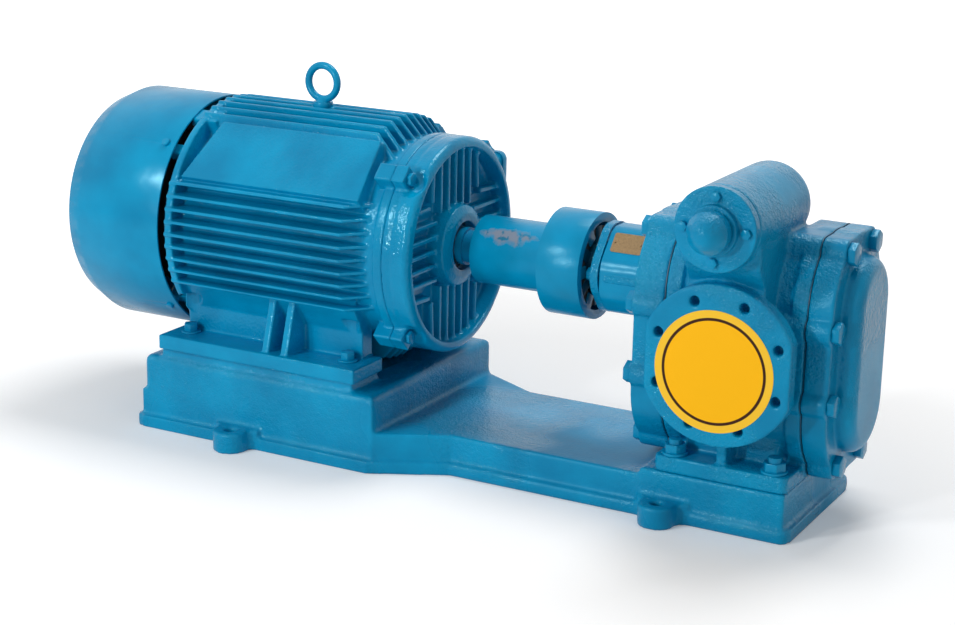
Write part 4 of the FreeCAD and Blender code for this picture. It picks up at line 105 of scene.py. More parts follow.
class Slot(Enum):
    """The record's material slots."""

    CAST = "enamel_cast"
    SHEET = "enamel_sheet"
    COUPLING = "enamel_coupling"
    BOLT = "bolt_steel"
    STEEL = "shaft_steel"
    IRON = "cast_iron"
    CORE = "core_steel"
    COPPER = "copper"
    BRONZE = "bronze"
    RUBBER = "rubber"
    PLASTIC = "fan_plastic"
    RESIN = "board_resin"
    GASKET = "gasket_sheet"
    PACKING = "packing_yarn"


class Wiring:
    """A node tree while it is being wired."""

    def __init__(self, tree: bpy.types.NodeTree) -> None:
        """Take hold of the tree."""
        self.tree = tree

    def link(self, source: Socket, target: Socket) -> None:
        """Join two sockets."""
        self.tree.links.new(source, target)

    def maths(self, operation: str, first: Value, second: Value = 0.0) -> Socket:
        """Work out one sum.

        Args:
            operation: The sum, by Blender's name for it.
            first: Its first value.
            second: Its second value, if it has one.

        Returns:
            The result.
        """
        node = self.tree.nodes.new("ShaderNodeMath")
        node.operation = operation
        for value, target in zip((first, second), node.inputs):
            if isinstance(value, float):
                target.default_value = value
            else:
                self.link(value, target)
        return node.outputs["Value"]

    def span(self, value: Socket, low: float, high: float,
             start: float = 0.3, end: float = 0.7) -> Socket:
        """Spread a value over a new range.

        Args:
            value: The value to spread.
            low: What it becomes at start.
            high: What it becomes at end.
            start: The old range's low end.
            end: The old range's high end.

        Returns:
            The spread value.
        """
        node = self.tree.nodes.new("ShaderNodeMapRange")
        node.inputs["From Min"].default_value = start
        node.inputs["From Max"].default_value = end
        node.inputs["To Min"].default_value = low
        node.inputs["To Max"].default_value = high
        self.link(value, node.inputs["Value"])
        return node.outputs["Result"]


class Shader(Wiring):
    """A material's principled shader while its sockets are being fed."""

    def __init__(self, label: str) -> None:
        """Start a material with its own principled shader.

        Args:
            label: The material's name.
        """
        self.material = bpy.data.materials.new(label)
        self.material.use_nodes = True
        super().__init__(self.material.node_tree)
        self.surface = self.tree.nodes["Principled BSDF"]
        self.place = self.tree.nodes.new("ShaderNodeTexCoord").outputs["Object"]

    def set(self, **values: object) -> None:
        """Set the shader's own sockets; an underscore in a name stands for a space."""
        for name, value in values.items():
            self.surface.inputs[name.replace("_", " ")].default_value = value

    def feed(self, name: str, source: Socket) -> None:
        """Let a pattern drive one of the shader's own sockets."""
        self.link(source, self.surface.inputs[name])

    def noise(self, scale: float, detail: float = 2.0) -> Socket:
        """A noise pattern over the piece.

        Args:
            scale: Features to a metre.
            detail: How many finer layers it has.

        Returns:
            The pattern's value, from 0 to 1.
        """
        pattern = self.tree.nodes.new("ShaderNodeTexNoise")
        pattern.inputs["Scale"].default_value = scale
        pattern.inputs["Detail"].default_value = detail
        self.link(self.place, pattern.inputs["Vector"])
        return pattern.outputs["Fac"]

    def distance(self, centre: Vector) -> Socket:
        """How far each point lies from a centre.

        Args:
            centre: The point to measure from.

        Returns:
            The distance, in metres.
        """
        gap = self.tree.nodes.new("ShaderNodeVectorMath")
        gap.operation = "DISTANCE"
        gap.inputs[1].default_value = centre
        self.link(self.place, gap.inputs[0])
        return gap.outputs["Value"]

    def ramp(self, value: Socket, stops: Iterable[tuple[float, Colour]]) -> Socket:
        """Turn a value into a colour.

        Args:
            value: The value that picks the colour.
            stops: Places from 0 to 1, each with its linear colour.

        Returns:
            The colour.
        """
        node = self.tree.nodes.new("ShaderNodeValToRGB")
        stops = list(stops)
        while len(node.color_ramp.elements) < len(stops):
            node.color_ramp.elements.new(0.5)
        for element, (spot, colour) in zip(node.color_ramp.elements, stops):
            element.position = spot
            element.color = (*colour, 1.0)
        self.link(value, node.inputs["Fac"])
        return node.outputs["Color"]

    def mix(self, share: Socket, first: Socket, second: Socket) -> Socket:
        """Blend two colours.

        Args:
            share: How much of the second shows, from 0 to 1.
            first: The first colour.
            second: The second colour.

        Returns:
            The blend.
        """
        node = self.tree.nodes.new("ShaderNodeMix")
        node.data_type = "RGBA"
        named = {target.identifier: target for target in node.inputs}
        self.link(share, named["Factor_Float"])
        self.link(first, named["A_Color"])
        self.link(second, named["B_Color"])
        return next(output for output in node.outputs if output.identifier == "Result_Color")

    def bumps(self, layers: Iterable[tuple[float, float]], strength: Optional[Socket] = None) -> None:
        """Raise the surface by layers of noise.

        Args:
            layers: Features to a metre, each with its height in metres.
            strength: The share of the height that each place gets, or None for all of it.
        """
        normal = None
        for scale, height in layers:
            bump = self.tree.nodes.new("ShaderNodeBump")
            bump.inputs["Distance"].default_value = height
            self.link(self.noise(scale), bump.inputs["Height"])
            if strength is not None:
                self.link(strength, bump.inputs["Strength"])
            if normal is not None:
                self.link(normal, bump.inputs["Normal"])
            normal = bump.outputs["Normal"]
        self.feed("Normal", normal)


def shaded(colour: Colour, share: float) -> Colour:
    """A darker tone of a colour."""
    return tuple(part * share for part in colour)


@dataclass(frozen=True)
class Enamel:
    """Glossy sea-blue paint, thick and lumpy on castings and thinner on sheet.

    Its patches run from satin and calm to glossy and lumpy.
    """

    label: str
    deep: Colour
    bright: Colour
    satin: float
    gloss: float
    layers: tuple[tuple[float, float], ...]
    patches: float = 9.0
    calm: float = 0.35
    patch_edges: tuple[float, float] = (0.4, 0.52)
    clouds: float = 11.0
    cloud_detail: float = 5.0
    cloud_edges: tuple[float, float] = (0.33, 0.66)

    def material(self) -> bpy.types.Material:
        """Mix the paint.

        Returns:
            The material.
        """
        shader = Shader(self.label)
        clouds = shader.noise(self.clouds, self.cloud_detail)
        tones = zip(self.cloud_edges, (self.deep, self.bright))
        shader.feed("Base Color", shader.ramp(clouds, tones))
        runs = shader.noise(self.patches, 1.5)
        shader.feed("Roughness", shader.span(runs, self.satin, self.gloss, *self.patch_edges))
        shader.set(IOR=PAINT_IOR, Specular_IOR_Level=PAINT_GLOSS, Specular_Tint=PAINT_GLINT)
        shader.bumps(self.layers, shader.span(runs, self.calm, 1.0, *self.patch_edges))
        return shader.material


@dataclass(frozen=True)
class WornEnamel:
    """Thin paint over turned steel, rubbed down to pinkish grey in one long patch."""

    label: str
    paint: Colour
    bare: Colour
    smudge: Colour
    middle: Vector
    reach: Vector
    raggedness: float = 0.35
    worn_share: float = 0.85
    patch_edges: tuple[float, float] = (0.6, 1.1)
    paint_roughness: float = 0.26
    bare_roughness: float = 0.5

    def material(self) -> bpy.types.Material:
        """Paint with one ragged patch about its middle.

        Returns:
            The material.
        """
        shader = Shader(self.label)
        patch = shader.tree.nodes.new("ShaderNodeMapping")
        to_middle = [-place / reach for place, reach in zip(self.middle, self.reach)]
        patch.inputs["Location"].default_value = to_middle
        patch.inputs["Scale"].default_value = [1.0 / reach for reach in self.reach]
        shader.link(shader.place, patch.inputs["Vector"])
        distance = shader.tree.nodes.new("ShaderNodeVectorMath")
        distance.operation = "LENGTH"
        shader.link(patch.outputs["Vector"], distance.inputs[0])
        tatters = shader.span(shader.noise(70.0, 6.0), -self.raggedness, self.raggedness)
        ragged = shader.maths("ADD", distance.outputs["Value"], tatters)
        share = shader.span(ragged, self.worn_share, 0.0, *self.patch_edges)
        clouds = shader.noise(20.0)
        paint = shader.ramp(clouds, [(0.3, shaded(self.paint, 0.8)), (0.7, self.paint)])
        stains = shader.noise(110.0, 4.0)
        bare = shader.ramp(stains, [(0.4, self.smudge), (0.5, self.bare), (0.75, self.bare)])
        shader.feed("Base Color", shader.mix(share, paint, bare))
        roughness = shader.span(share, self.paint_roughness, self.bare_roughness, 0.0, 1.0)
        shader.feed("Roughness", roughness)
        shader.set(IOR=PAINT_IOR, Specular_IOR_Level=PAINT_GLOSS, Specular_Tint=PAINT_GLINT)
        shader.bumps([(60.0, 0.0004), (300.0, 0.00012), (1200.0, 0.00005)])
        return shader.material


@dataclass(frozen=True)
class HalfPainted:
    """Turned steel that is painted between two places along the shafts."""

    label: str
    paint: Colour
    steel: Colour
    start: float
    end: float
    blur: float = 0.0008

    def material(self) -> bpy.types.Material:
        """Steel with one painted band.

        Returns:
            The material.
        """
        shader = Shader(self.label)
        split = shader.tree.nodes.new("ShaderNodeSeparateXYZ")
        shader.link(shader.place, split.inputs["Vector"])
        middle = (self.start + self.end) / 2
        half = (self.end - self.start) / 2
        reach = shader.maths("ABSOLUTE", shader.maths("SUBTRACT", split.outputs["X"], middle))
        share = shader.span(reach, 1.0, 0.0, half, half + self.blur)
        marks = shader.noise(350.0, 3.0)
        steel = shader.ramp(marks, [(0.35, shaded(self.steel, 0.75)), (0.65, self.steel)])
        clouds = shader.noise(24.0, 4.0)
        paint = shader.ramp(clouds, [(0.35, shaded(self.paint, 0.8)), (0.65, self.paint)])
        shader.feed("Base Color", shader.mix(share, steel, paint))
        shader.feed("Metallic", shader.span(share, 1.0, 0.0, 0.0, 1.0))
        shader.set(Roughness=0.3, Specular_IOR_Level=PAINT_GLOSS)
        shader.bumps([(500.0, 0.00004)])
        return shader.material


@dataclass(frozen=True)
class Metal:
    """Bare metal with fine tool marks."""

    label: str
    colour: Colour
    roughness: float
    metallic: float = 1.0

    def material(self) -> bpy.types.Material:
        """The metal with its marks.

        Returns:
            The material.
        """
        shader = Shader(self.label)
        marks = shader.noise(400.0, 3.0)
        tones = [(0.35, shaded(self.colour, 0.8)), (0.65, self.colour)]
        shader.feed("Base Color", shader.ramp(marks, tones))
        shader.feed("Roughness", shader.span(marks, self.roughness * 0.8, self.roughness * 1.25))
        shader.set(Metallic=self.metallic)
        shader.bumps([(500.0, 0.00003)])
        return shader.material


@dataclass(frozen=True)
class Plain:
    """Rubber, plastic, gasket sheet and packing: one colour with a grain."""

    label: str
    colour: Colour
    roughness: float
    grain: float = 700.0
    height: float = 0.00005

    def material(self) -> bpy.types.Material:
        """The stuff with its grain.

        Returns:
            The material.
        """
        shader = Shader(self.label)
        clouds = shader.noise(self.grain * 0.3, 4.0)
        tones = [(0.3, shaded(self.colour, 0.75)), (0.7, self.colour)]
        shader.feed("Base Color", shader.ramp(clouds, tones))
        shader.set(Roughness=self.roughness)
        shader.bumps([(self.grain, self.height)])
        return shader.material


@dataclass(frozen=True)
class RingedPaper:
    """Yellow paper with one thin printed ring and a paler rim."""

    label: str
    centre: Vector
    ring_radius: float
    ring_width: float
    yellow: Colour = (1.0, 0.50, 0.0)
    pale: Colour = (0.95, 0.56, 0.03)
    ink: Colour = (0.035, 0.008, 0.003)
    blur: float = 0.0004
    pattern_share: float = 1.4

    def material(self) -> bpy.types.Material:
        """Paper with a ring drawn by the distance from its centre.

        Returns:
            The material.
        """
        shader = Shader(self.label)
        reach = self.ring_radius * self.pattern_share
        spots = shader.span(shader.distance(self.centre), 0.0, 1.0, 0.0, reach)
        edge = self.blur / reach
        inner = (self.ring_radius - self.ring_width / 2) / reach
        outer = (self.ring_radius + self.ring_width / 2) / reach
        stops = [
            (inner - edge, self.yellow),
            (inner, self.ink),
            (outer, self.ink),
            (outer + edge, self.pale),
        ]
        shader.feed("Base Color", shader.ramp(spots, stops))
        shader.set(Roughness=0.5, IOR=1.45, Specular_IOR_Level=0.2)
        shader.bumps([(900.0, 0.00002), (25.0, 0.0002)])
        return shader.material


class Paints:
    """Every finish of the set, made once."""

    def __init__(self) -> None:
        """Mix the finishes."""
        deep, bright = (0.0, 0.205, 0.40), (0.0, 0.285, 0.52)
        grey_steel = (0.55, 0.55, 0.56)
        self.cast = Enamel(
            "enamel_on_castings", deep, bright, satin=0.27, gloss=0.08,
            layers=((34.0, 0.0013), (150.0, 0.0021), (420.0, 0.0013)),
            patches=9.0, calm=0.12).material()
        self.base = Enamel(
            "enamel_on_base", deep, bright, satin=0.44, gloss=0.1,
            layers=((30.0, 0.0010), (170.0, 0.0013), (440.0, 0.0009)),
            patches=6.0, calm=0.3).material()
        self.motor = Enamel(
            "enamel_on_motor", deep, bright, satin=0.24, gloss=0.1,
            layers=((60.0, 0.0007), (240.0, 0.0007)), patches=7.0, calm=0.35).material()
        # Painted shade: a very dark copy of the blue enamel, standing in for the shadow inside the coupling hub's
        # recess.
        self.painted_shade = Enamel(
            "painted_shade_enamel", (0.0, 0.045, 0.085), (0.0, 0.08, 0.15), satin=0.4, gloss=0.3,
            layers=((200.0, 0.0004),)).material()
        self.sheet = Enamel(
            "enamel_on_sheet", deep, bright, satin=0.26, gloss=0.22,
            layers=((20.0, 0.0012), (400.0, 0.00005))).material()
        self.bolt = Enamel(
            "enamel_on_bolts", deep, bright, satin=0.18, gloss=0.1,
            layers=((220.0, 0.0008), (700.0, 0.0002)), patches=40.0, calm=0.6).material()
        self.hub = WornEnamel(
            "worn_hub_enamel", paint=(0.0, 0.27, 0.50), bare=(0.22, 0.22, 0.26),
            smudge=(0.02, 0.13, 0.22),
            middle=Vector((-0.3665, -0.0375, 0.339)),
            reach=Vector((0.0385, 0.013, 0.013))).material()
        self.shaft = HalfPainted(
            "motor_shaft_finish", paint=(0.0, 0.24, 0.46), steel=grey_steel,
            start=-0.462, end=-0.420).material()
        self.joint = Plain("painted_joint", (0.0, 0.085, 0.16), 0.4).material()
        self.brass = Metal("tarnished_brass", (0.30, 0.20, 0.10), 0.42, 0.7).material()
        self.steel = Metal("turned_steel", grey_steel, 0.3).material()
        self.core = Metal("core_plates", (0.35, 0.35, 0.37), 0.45).material()
        self.copper = Metal("copper_wire", (0.62, 0.28, 0.12), 0.35).material()
        self.bronze = Metal("bronze", (0.55, 0.38, 0.16), 0.35).material()
        self.iron = Metal("bare_iron", (0.12, 0.12, 0.12), 0.6, 0.7).material()
        self.rubber = Plain("rubber", (0.02, 0.02, 0.02), 0.7).material()
        self.plastic = Plain("fan_plastic", (0.03, 0.03, 0.03), 0.5).material()
        self.resin = Plain("board_resin", (0.10, 0.05, 0.03), 0.4).material()
        self.gasket = Plain("gasket_sheet", (0.20, 0.19, 0.15), 0.85).material()
        self.packing = Plain("packing_yarn", (0.25, 0.22, 0.14), 0.9, 300.0, 0.0004).material()

    def for_slots(self) -> dict[Slot, bpy.types.Material]:
        """The finish of each material slot of the record."""
        return {
            Slot.CAST: self.cast, Slot.SHEET: self.sheet, Slot.COUPLING: self.motor,
            Slot.BOLT: self.bolt, Slot.STEEL: self.steel, Slot.IRON: self.iron,
            Slot.CORE: self.core, Slot.COPPER: self.copper, Slot.BRONZE: self.bronze,
            Slot.RUBBER: self.rubber, Slot.PLASTIC: self.plastic, Slot.RESIN: self.resin,
            Slot.GASKET: self.gasket, Slot.PACKING: self.packing,
        }


def dress_cad(paints: Paints) -> None:
    """Give every CAD node the finish of its slot.

    Args:
        paints: The finishes.
    """
    finishes = paints.for_slots()
    special = {
        "front_gasket": paints.joint,
        "rear_gasket": paints.joint,
        "motor_shaft": paints.shaft,
        "gland_studs": paints.bolt,
        "gland_nuts": paints.bolt,
    }
    for row in frame["record"]["subparts"]:
        node = frame["nodes"].get(row["node"])
        if node is None:
            continue
        node.data.materials.clear()
        finish = special.get(row["node"], finishes[Slot(row["material_slot"])])
        node.data.materials.append(finish)


def as_mesh(form: bmesh.types.BMesh, name: str) -> bpy.types.Mesh:
    """Turn a form into a mesh and let the form go.

    Args:
        form: The form.
        name: The mesh's name.

    Returns:
        The mesh.
    """
    mesh = bpy.data.meshes.new(name)
    form.to_mesh(mesh)
    form.free()
    return mesh


def merged_copy(node: str) -> bmesh.types.BMesh:
    """A copy of a CAD node's mesh with its loose triangles joined.

    Args:
        node: The node's name.

    Returns:
        The copy, as a form.
    """
    form = bmesh.new()
    form.from_mesh(frame["nodes"][node].data)
    bmesh.ops.remove_doubles(form, verts=form.verts, dist=MERGE_DISTANCE)
    return form


def soften_edges(mesh: bpy.types.Mesh, angle: float = 32.0) -> None:
    """Shade a mesh smooth, apart from its sharp edges.

    Args:
        mesh: The mesh.
        angle: The least turn of a sharp edge, in degrees.
    """
    form = bmesh.new()
    form.from_mesh(mesh)
    limit = math.radians(angle)
    for face in form.faces:
        face.smooth = True
    for edge in form.edges:
        edge.smooth = len(edge.link_faces) == 2 and edge.calc_face_angle(0.0) < limit
    form.to_mesh(mesh)
    form.free()


def modified(mesh: bpy.types.Mesh,
             steps: Iterable[tuple[str, dict[str, object]]]) -> bpy.types.Mesh:
    """Put a mesh through a row of modifiers.

    Args:
        mesh: The mesh to start from.
        steps: Each modifier's kind, with its settings.

    Returns:
        The mesh that comes out.
    """
    worker = bpy.data.objects.new("worker", mesh)
    bpy.context.scene.collection.objects.link(worker)
    for kind, settings in steps:
        modifier = worker.modifiers.new(kind, kind)
        for name, value in settings.items():
            setattr(modifier, name, value)
    outcome = worker.evaluated_get(bpy.context.evaluated_depsgraph_get())
    result = bpy.data.meshes.new_from_object(outcome)
    bpy.data.objects.remove(worker)
    return result


def thin_out(mesh: bpy.types.Mesh, limit: int) -> bpy.types.Mesh:
    """Bring a dense mesh under a number of triangles.

    Args:
        mesh: The dense mesh.
        limit: The most triangles that it may have.

    Returns:
        The thinned mesh.
    """
    triangles = sum(len(face.vertices) - 2 for face in mesh.polygons)
    if triangles <= limit:
        return mesh
    return modified(mesh, [("DECIMATE", {"ratio": limit / triangles})])


@dataclass(frozen=True)
class Skin:
    """How a casting's sharp CAD form gets its poured and painted skin."""

    grain: float
    passes: int
    triangles: int

    def over(self, node: str) -> bpy.types.Mesh:
        """Grow the skin over a CAD node.

        Args:
            node: The node whose form it follows.

        Returns:
            A smooth mesh with rounded edges and filled corners.
        """
        skin = modified(as_mesh(merged_copy(node), node), [
            ("REMESH", {"mode": "VOXEL", "voxel_size": self.grain}),
            ("SMOOTH", {"factor": 0.5, "iterations": self.passes}),
        ])
        skin = thin_out(skin, self.triangles)
        skin.shade_smooth()
        skin.name = node + "_skin"
        return skin


def round_edges(form: bmesh.types.BMesh, edges: list[bmesh.types.BMEdge], width: float,
                segments: int = 2, clamp: bool = False) -> None:
    """Round some edges of a form.

    Args:
        form: The form.
        edges: Its edges to round.
        width: How wide the rounding is, in metres.
        segments: How many steps it has.
        clamp: Whether it stops where two roundings meet.
    """
    bmesh.ops.bevel(form, geom=edges, offset=width, affect="EDGES", segments=segments, profile=0.5,
                    material=-1, clamp_overlap=clamp)


def eased(node: str, width: float) -> bpy.types.Mesh:
    """A CAD node's mesh with its sharp edges broken.

    Args:
        node: The node whose form it follows.
        width: How wide the broken edge is, in millimetres.

    Returns:
        The eased mesh.
    """
    form = merged_copy(node)
    bmesh.ops.dissolve_limit(form, angle_limit=FLAT_ANGLE, verts=form.verts, edges=form.edges)
    sharp = [edge for edge in form.edges
             if len(edge.link_faces) == 2 and edge.calc_face_angle(0.0) > SHARP_ANGLE]
    round_edges(form, sharp, width * MILLIMETRE, clamp=True)
    mesh = as_mesh(form, node + "_eased")
    soften_edges(mesh)
    return mesh


def ease_in(value: float, low: float, high: float) -> float:
    """A smooth step from 0 at low to 1 at high."""
    share = min(1.0, max(0.0, (value - low) / (high - low)))
    return share * share * (3.0 - 2.0 * share)


def loose_parts(form: bmesh.types.BMesh) -> list[tuple[list[bmesh.types.BMVert], Vector]]:
    """The separate bolts or nuts of a form.

    Args:
        form: The form that holds them.

    Returns:
        Each part's corners with its middle.
    """
    parts = []
    waiting = set(form.verts)
    for start in form.verts:
        if start not in waiting:
            continue
        waiting.discard(start)
        part = [start]
        for corner in part:
            for edge in corner.link_edges:
                other = edge.other_vert(corner)
                if other in waiting:
                    waiting.discard(other)
                    part.append(other)
        low = Vector(min(corner.co[axis] for corner in part) for axis in range(3))
        high = Vector(max(corner.co[axis] for corner in part) for axis in range(3))
        parts.append((part, (low + high) / 2))
    return parts


def resized_parts(mesh: bpy.types.Mesh, factors: Vector) -> bpy.types.Mesh:
    """Scale each loose part of a mesh about its own middle.

    Args:
        mesh: A mesh of separate bolts or nuts.
        factors: The scale along each axis.

    Returns:
        The same mesh.
    """
    form = bmesh.new()
    form.from_mesh(mesh)
    for part, middle in loose_parts(form):
        bmesh.ops.scale(form, vec=factors, verts=part, space=Matrix.Translation(-middle))
    form.to_mesh(mesh)
    form.free()
    return mesh


def finished(name: str, mesh: bpy.types.Mesh, finish: bpy.types.Material) -> bpy.types.Object:
    """Put a mesh into the scene as one piece.

    Args:
        name: The piece's name.
        mesh: Its mesh, in the set's frame.
        finish: Its material.

    Returns:
        The piece.
    """
    mesh.materials.clear()
    mesh.materials.append(finish)
    piece = bpy.data.objects.new(name, mesh)
    bpy.context.scene.collection.objects.link(piece)
    log.info("%s: %d faces", name, len(mesh.polygons))
    return piece


def stand_for(node: str, mesh: bpy.types.Mesh, finish: bpy.types.Material, body: Body
              ) -> bpy.types.Object:
    """Make a piece that stands for one CAD node.

    Args:
        node: The node's name.
        mesh: The piece's mesh.
        finish: The piece's material.
        body: The body that it rides on.

    Returns:
        The piece.
    """
    piece = finished(node + "_painted", mesh, finish)
    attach(piece, body.value)
    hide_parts(node)
    return piece


def added(name: str, mesh: bpy.types.Mesh, finish: bpy.types.Material
          ) -> bpy.types.Object:
    """Make a piece of the scene alone, which rides on the set.

    Args:
        name: The piece's name.
        mesh: The piece's mesh.
        finish: The piece's material.

    Returns:
        The piece.
    """
    piece = finished(name, mesh, finish)
    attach(piece, Body.SET.value)
    return piece


@dataclass
class BaseCasting:
    """The hollow cast base with its pedestals and anchor ears, and the bolts that stand in it."""

    paints: Paints
    skin: Skin = Skin(grain=3.0 * MILLIMETRE, passes=6, triangles=190000)
    head_rise: float = 1.5
    washer_radius: float = 0.018
    washer_depth: float = 0.0035
    washer_rounding: float = 0.0007
    washer_segments: int = 40

    def build(self) -> None:
        """Make the base and its fasteners."""
        stand_for("base_plate", self.skin.over("base_plate"), self.paints.base, Body.SET)
        for node in ("pump_foot_studs", "pump_foot_nuts", "motor_foot_washers"):
            stand_for(node, eased(node, 0.6), self.paints.bolt, Body.SET)
        self.motor_bolts()
        self.pump_washers()

    def motor_bolts(self) -> None:
        """Make the motor's foot bolts, with heads taller than the CAD's."""
        bolts = eased("motor_foot_bolts", 0.6)
        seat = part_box("motor_foot_washers")[1].z
        for vertex in bolts.vertices:
            if vertex.co.z > seat:
                vertex.co.z = seat + (vertex.co.z - seat) * self.head_rise
        stand_for("motor_foot_bolts", bolts, self.paints.bolt, Body.SET)

    def pump_washers(self) -> None:
        """Lay a round washer under each of the pump's foot nuts."""
        nuts = merged_copy("pump_foot_nuts")
        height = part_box("pump_foot_nuts")[0].z + self.washer_depth / 2
        form = bmesh.new()
        for _, middle in loose_parts(nuts):
            place = Matrix.Translation((middle.x, middle.y, height))
            bmesh.ops.create_cone(
                form, cap_ends=True, segments=self.washer_segments, radius1=self.washer_radius,
                radius2=self.washer_radius, depth=self.washer_depth, matrix=place)
        nuts.free()
        rims = [edge for edge in form.edges if edge.calc_face_angle(0.0) > SHARP_ANGLE]
        round_edges(form, rims, self.washer_rounding)
        mesh = as_mesh(form, "pump_foot_washers")
        soften_edges(mesh, 50.0)
        added("pump_foot_washers", mesh, self.paints.bolt)


@dataclass
class Motor:
    """The finned motor: frame, shields, cowl, eyebolt, terminal box and bolts."""

    paints: Paints
    frame_skin: Skin = Skin(grain=1.9 * MILLIMETRE, passes=3, triangles=195000)
    shield_skin: Skin = Skin(grain=1.8 * MILLIMETRE, passes=3, triangles=110000)
    spigot: float = 0.008
    shield_depth: float = 0.043
    rim_radius: float = 0.159
    rim_rounding: float = 0.011
    crown_radius: float = 0.051
    crown_centre: tuple[float, float] = (0.00155, 0.10845)
    rib_start: float = 0.085
    mouth_radius: float = 0.118
    mouth_flare: float = 0.17
    mouth_growth: float = 0.019
    lug_place: float = 0.163
    lug_reach: tuple[float, float] = (0.014, 0.026)
    kept_depth: tuple[float, float] = (0.010, 0.018)
    diagonal: tuple[float, float] = (30.0, 45.0)

    def build(self) -> None:
        """Make all that the motor shows."""
        barrel = self.frame_skin.over("motor_frame")
        stand_for("motor_frame", barrel, self.paints.motor, Body.SET)
        near_shield = self.shield_skin.over("drive_end_shield")
        self.open_face(near_shield)
        stand_for("drive_end_shield", near_shield, self.paints.motor, Body.SET)
        far_shield = self.shield_skin.over("fan_end_shield")
        stand_for("fan_end_shield", far_shield, self.paints.motor, Body.SET)
        for node, width in (("fan_cowl", 1.2), ("eyebolt", 1.0),
                            ("terminal_box", 1.5), ("terminal_box_lid", 1.5)):
            stand_for(node, eased(node, width), self.paints.sheet, Body.SET)
        for node in ("shield_bolts_drive_end", "shield_bolts_fan_end",
                     "cowl_screws", "terminal_box_screws"):
            stand_for(node, eased(node, 0.5), self.paints.bolt, Body.SET)

    def open_face(self, shield: bpy.types.Mesh) -> None:
        """Push the drive-end shield's soft crown out to a narrow rim, and its ribs with it.

        Args:
            shield: The shield's skin, which it reshapes.
        """
        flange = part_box("drive_end_shield")[0].x + self.spigot
        lug = self.lug_place * math.sqrt(0.5)
        for vertex in shield.vertices:
            depth = vertex.co.x - flange
            across, up = vertex.co.y, vertex.co.z - SHAFT_HEIGHT
            reach = math.hypot(across, up)
            if depth < self.spigot or reach < self.rib_start:
                continue
            from_lug = math.hypot(abs(across) - lug, abs(up) - lug)
            share = ease_in(from_lug, *self.lug_reach) * ease_in(depth, *self.kept_depth)
            moved = reach + (self.opened(reach, depth) - reach) * share
            turn = math.atan2(min(abs(across), abs(up)), max(abs(across), abs(up)))
            straight = math.asin(min(1.0, reach / moved * math.sin(turn)))
            turn += (straight - turn) * (1.0 - ease_in(math.degrees(turn), *self.diagonal))
            far, near = moved * math.cos(turn), moved * math.sin(turn)
            sideways, upwards = (far, near) if abs(across) > abs(up) else (near, far)
            vertex.co.y = math.copysign(sideways, across)
            vertex.co.z = SHAFT_HEIGHT + math.copysign(upwards, up)

    def opened(self, reach: float, depth: float) -> float:
        """Work out how far from the shaft a point of the shield goes.

        Args:
            reach: Its distance from the shaft's middle.
            depth: Its distance from the flange.

        Returns:
            Its new distance from the shaft's middle.
        """
        mouth = self.mouth_radius + depth * self.mouth_flare
        open_mouth = mouth + self.mouth_growth
        if reach < mouth:
            stretch = (open_mouth - self.rib_start) / (mouth - self.rib_start)
            return self.rib_start + (reach - self.rib_start) * stretch
        along, centre = self.crown_centre
        crown = math.sqrt(max(0.0, self.crown_radius ** 2 - (depth - along) ** 2))
        old_rim = min(centre + crown, self.rim_radius)
        over = max(0.0, depth - (self.shield_depth - self.rim_rounding))
        corner = math.sqrt(max(0.0, self.rim_rounding ** 2 - over ** 2))
        new_rim = self.rim_radius - self.rim_rounding + corner
        if reach > old_rim:
            return reach + new_rim - old_rim
        stretch = (new_rim - open_mouth) / max(old_rim - mouth, MILLIMETRE)
        return open_mouth + (reach - mouth) * stretch


@dataclass
class Coupling:
    """The two claw halves between motor and pump."""

    paints: Paints
    easing: float = 1.5

    def build(self) -> None:
        """Make both halves."""
        motor_half = eased("coupling_motor_half", self.easing)
        stand_for("coupling_motor_half", motor_half, self.paints.hub, Body.ROTOR)
        pump_half = eased("coupling_pump_half", self.easing)
        # The pump half gets painted shade: its very dark enamel stands in for the shadow inside the hub.
        stand_for("coupling_pump_half", pump_half, self.paints.painted_shade, Body.DRIVE)


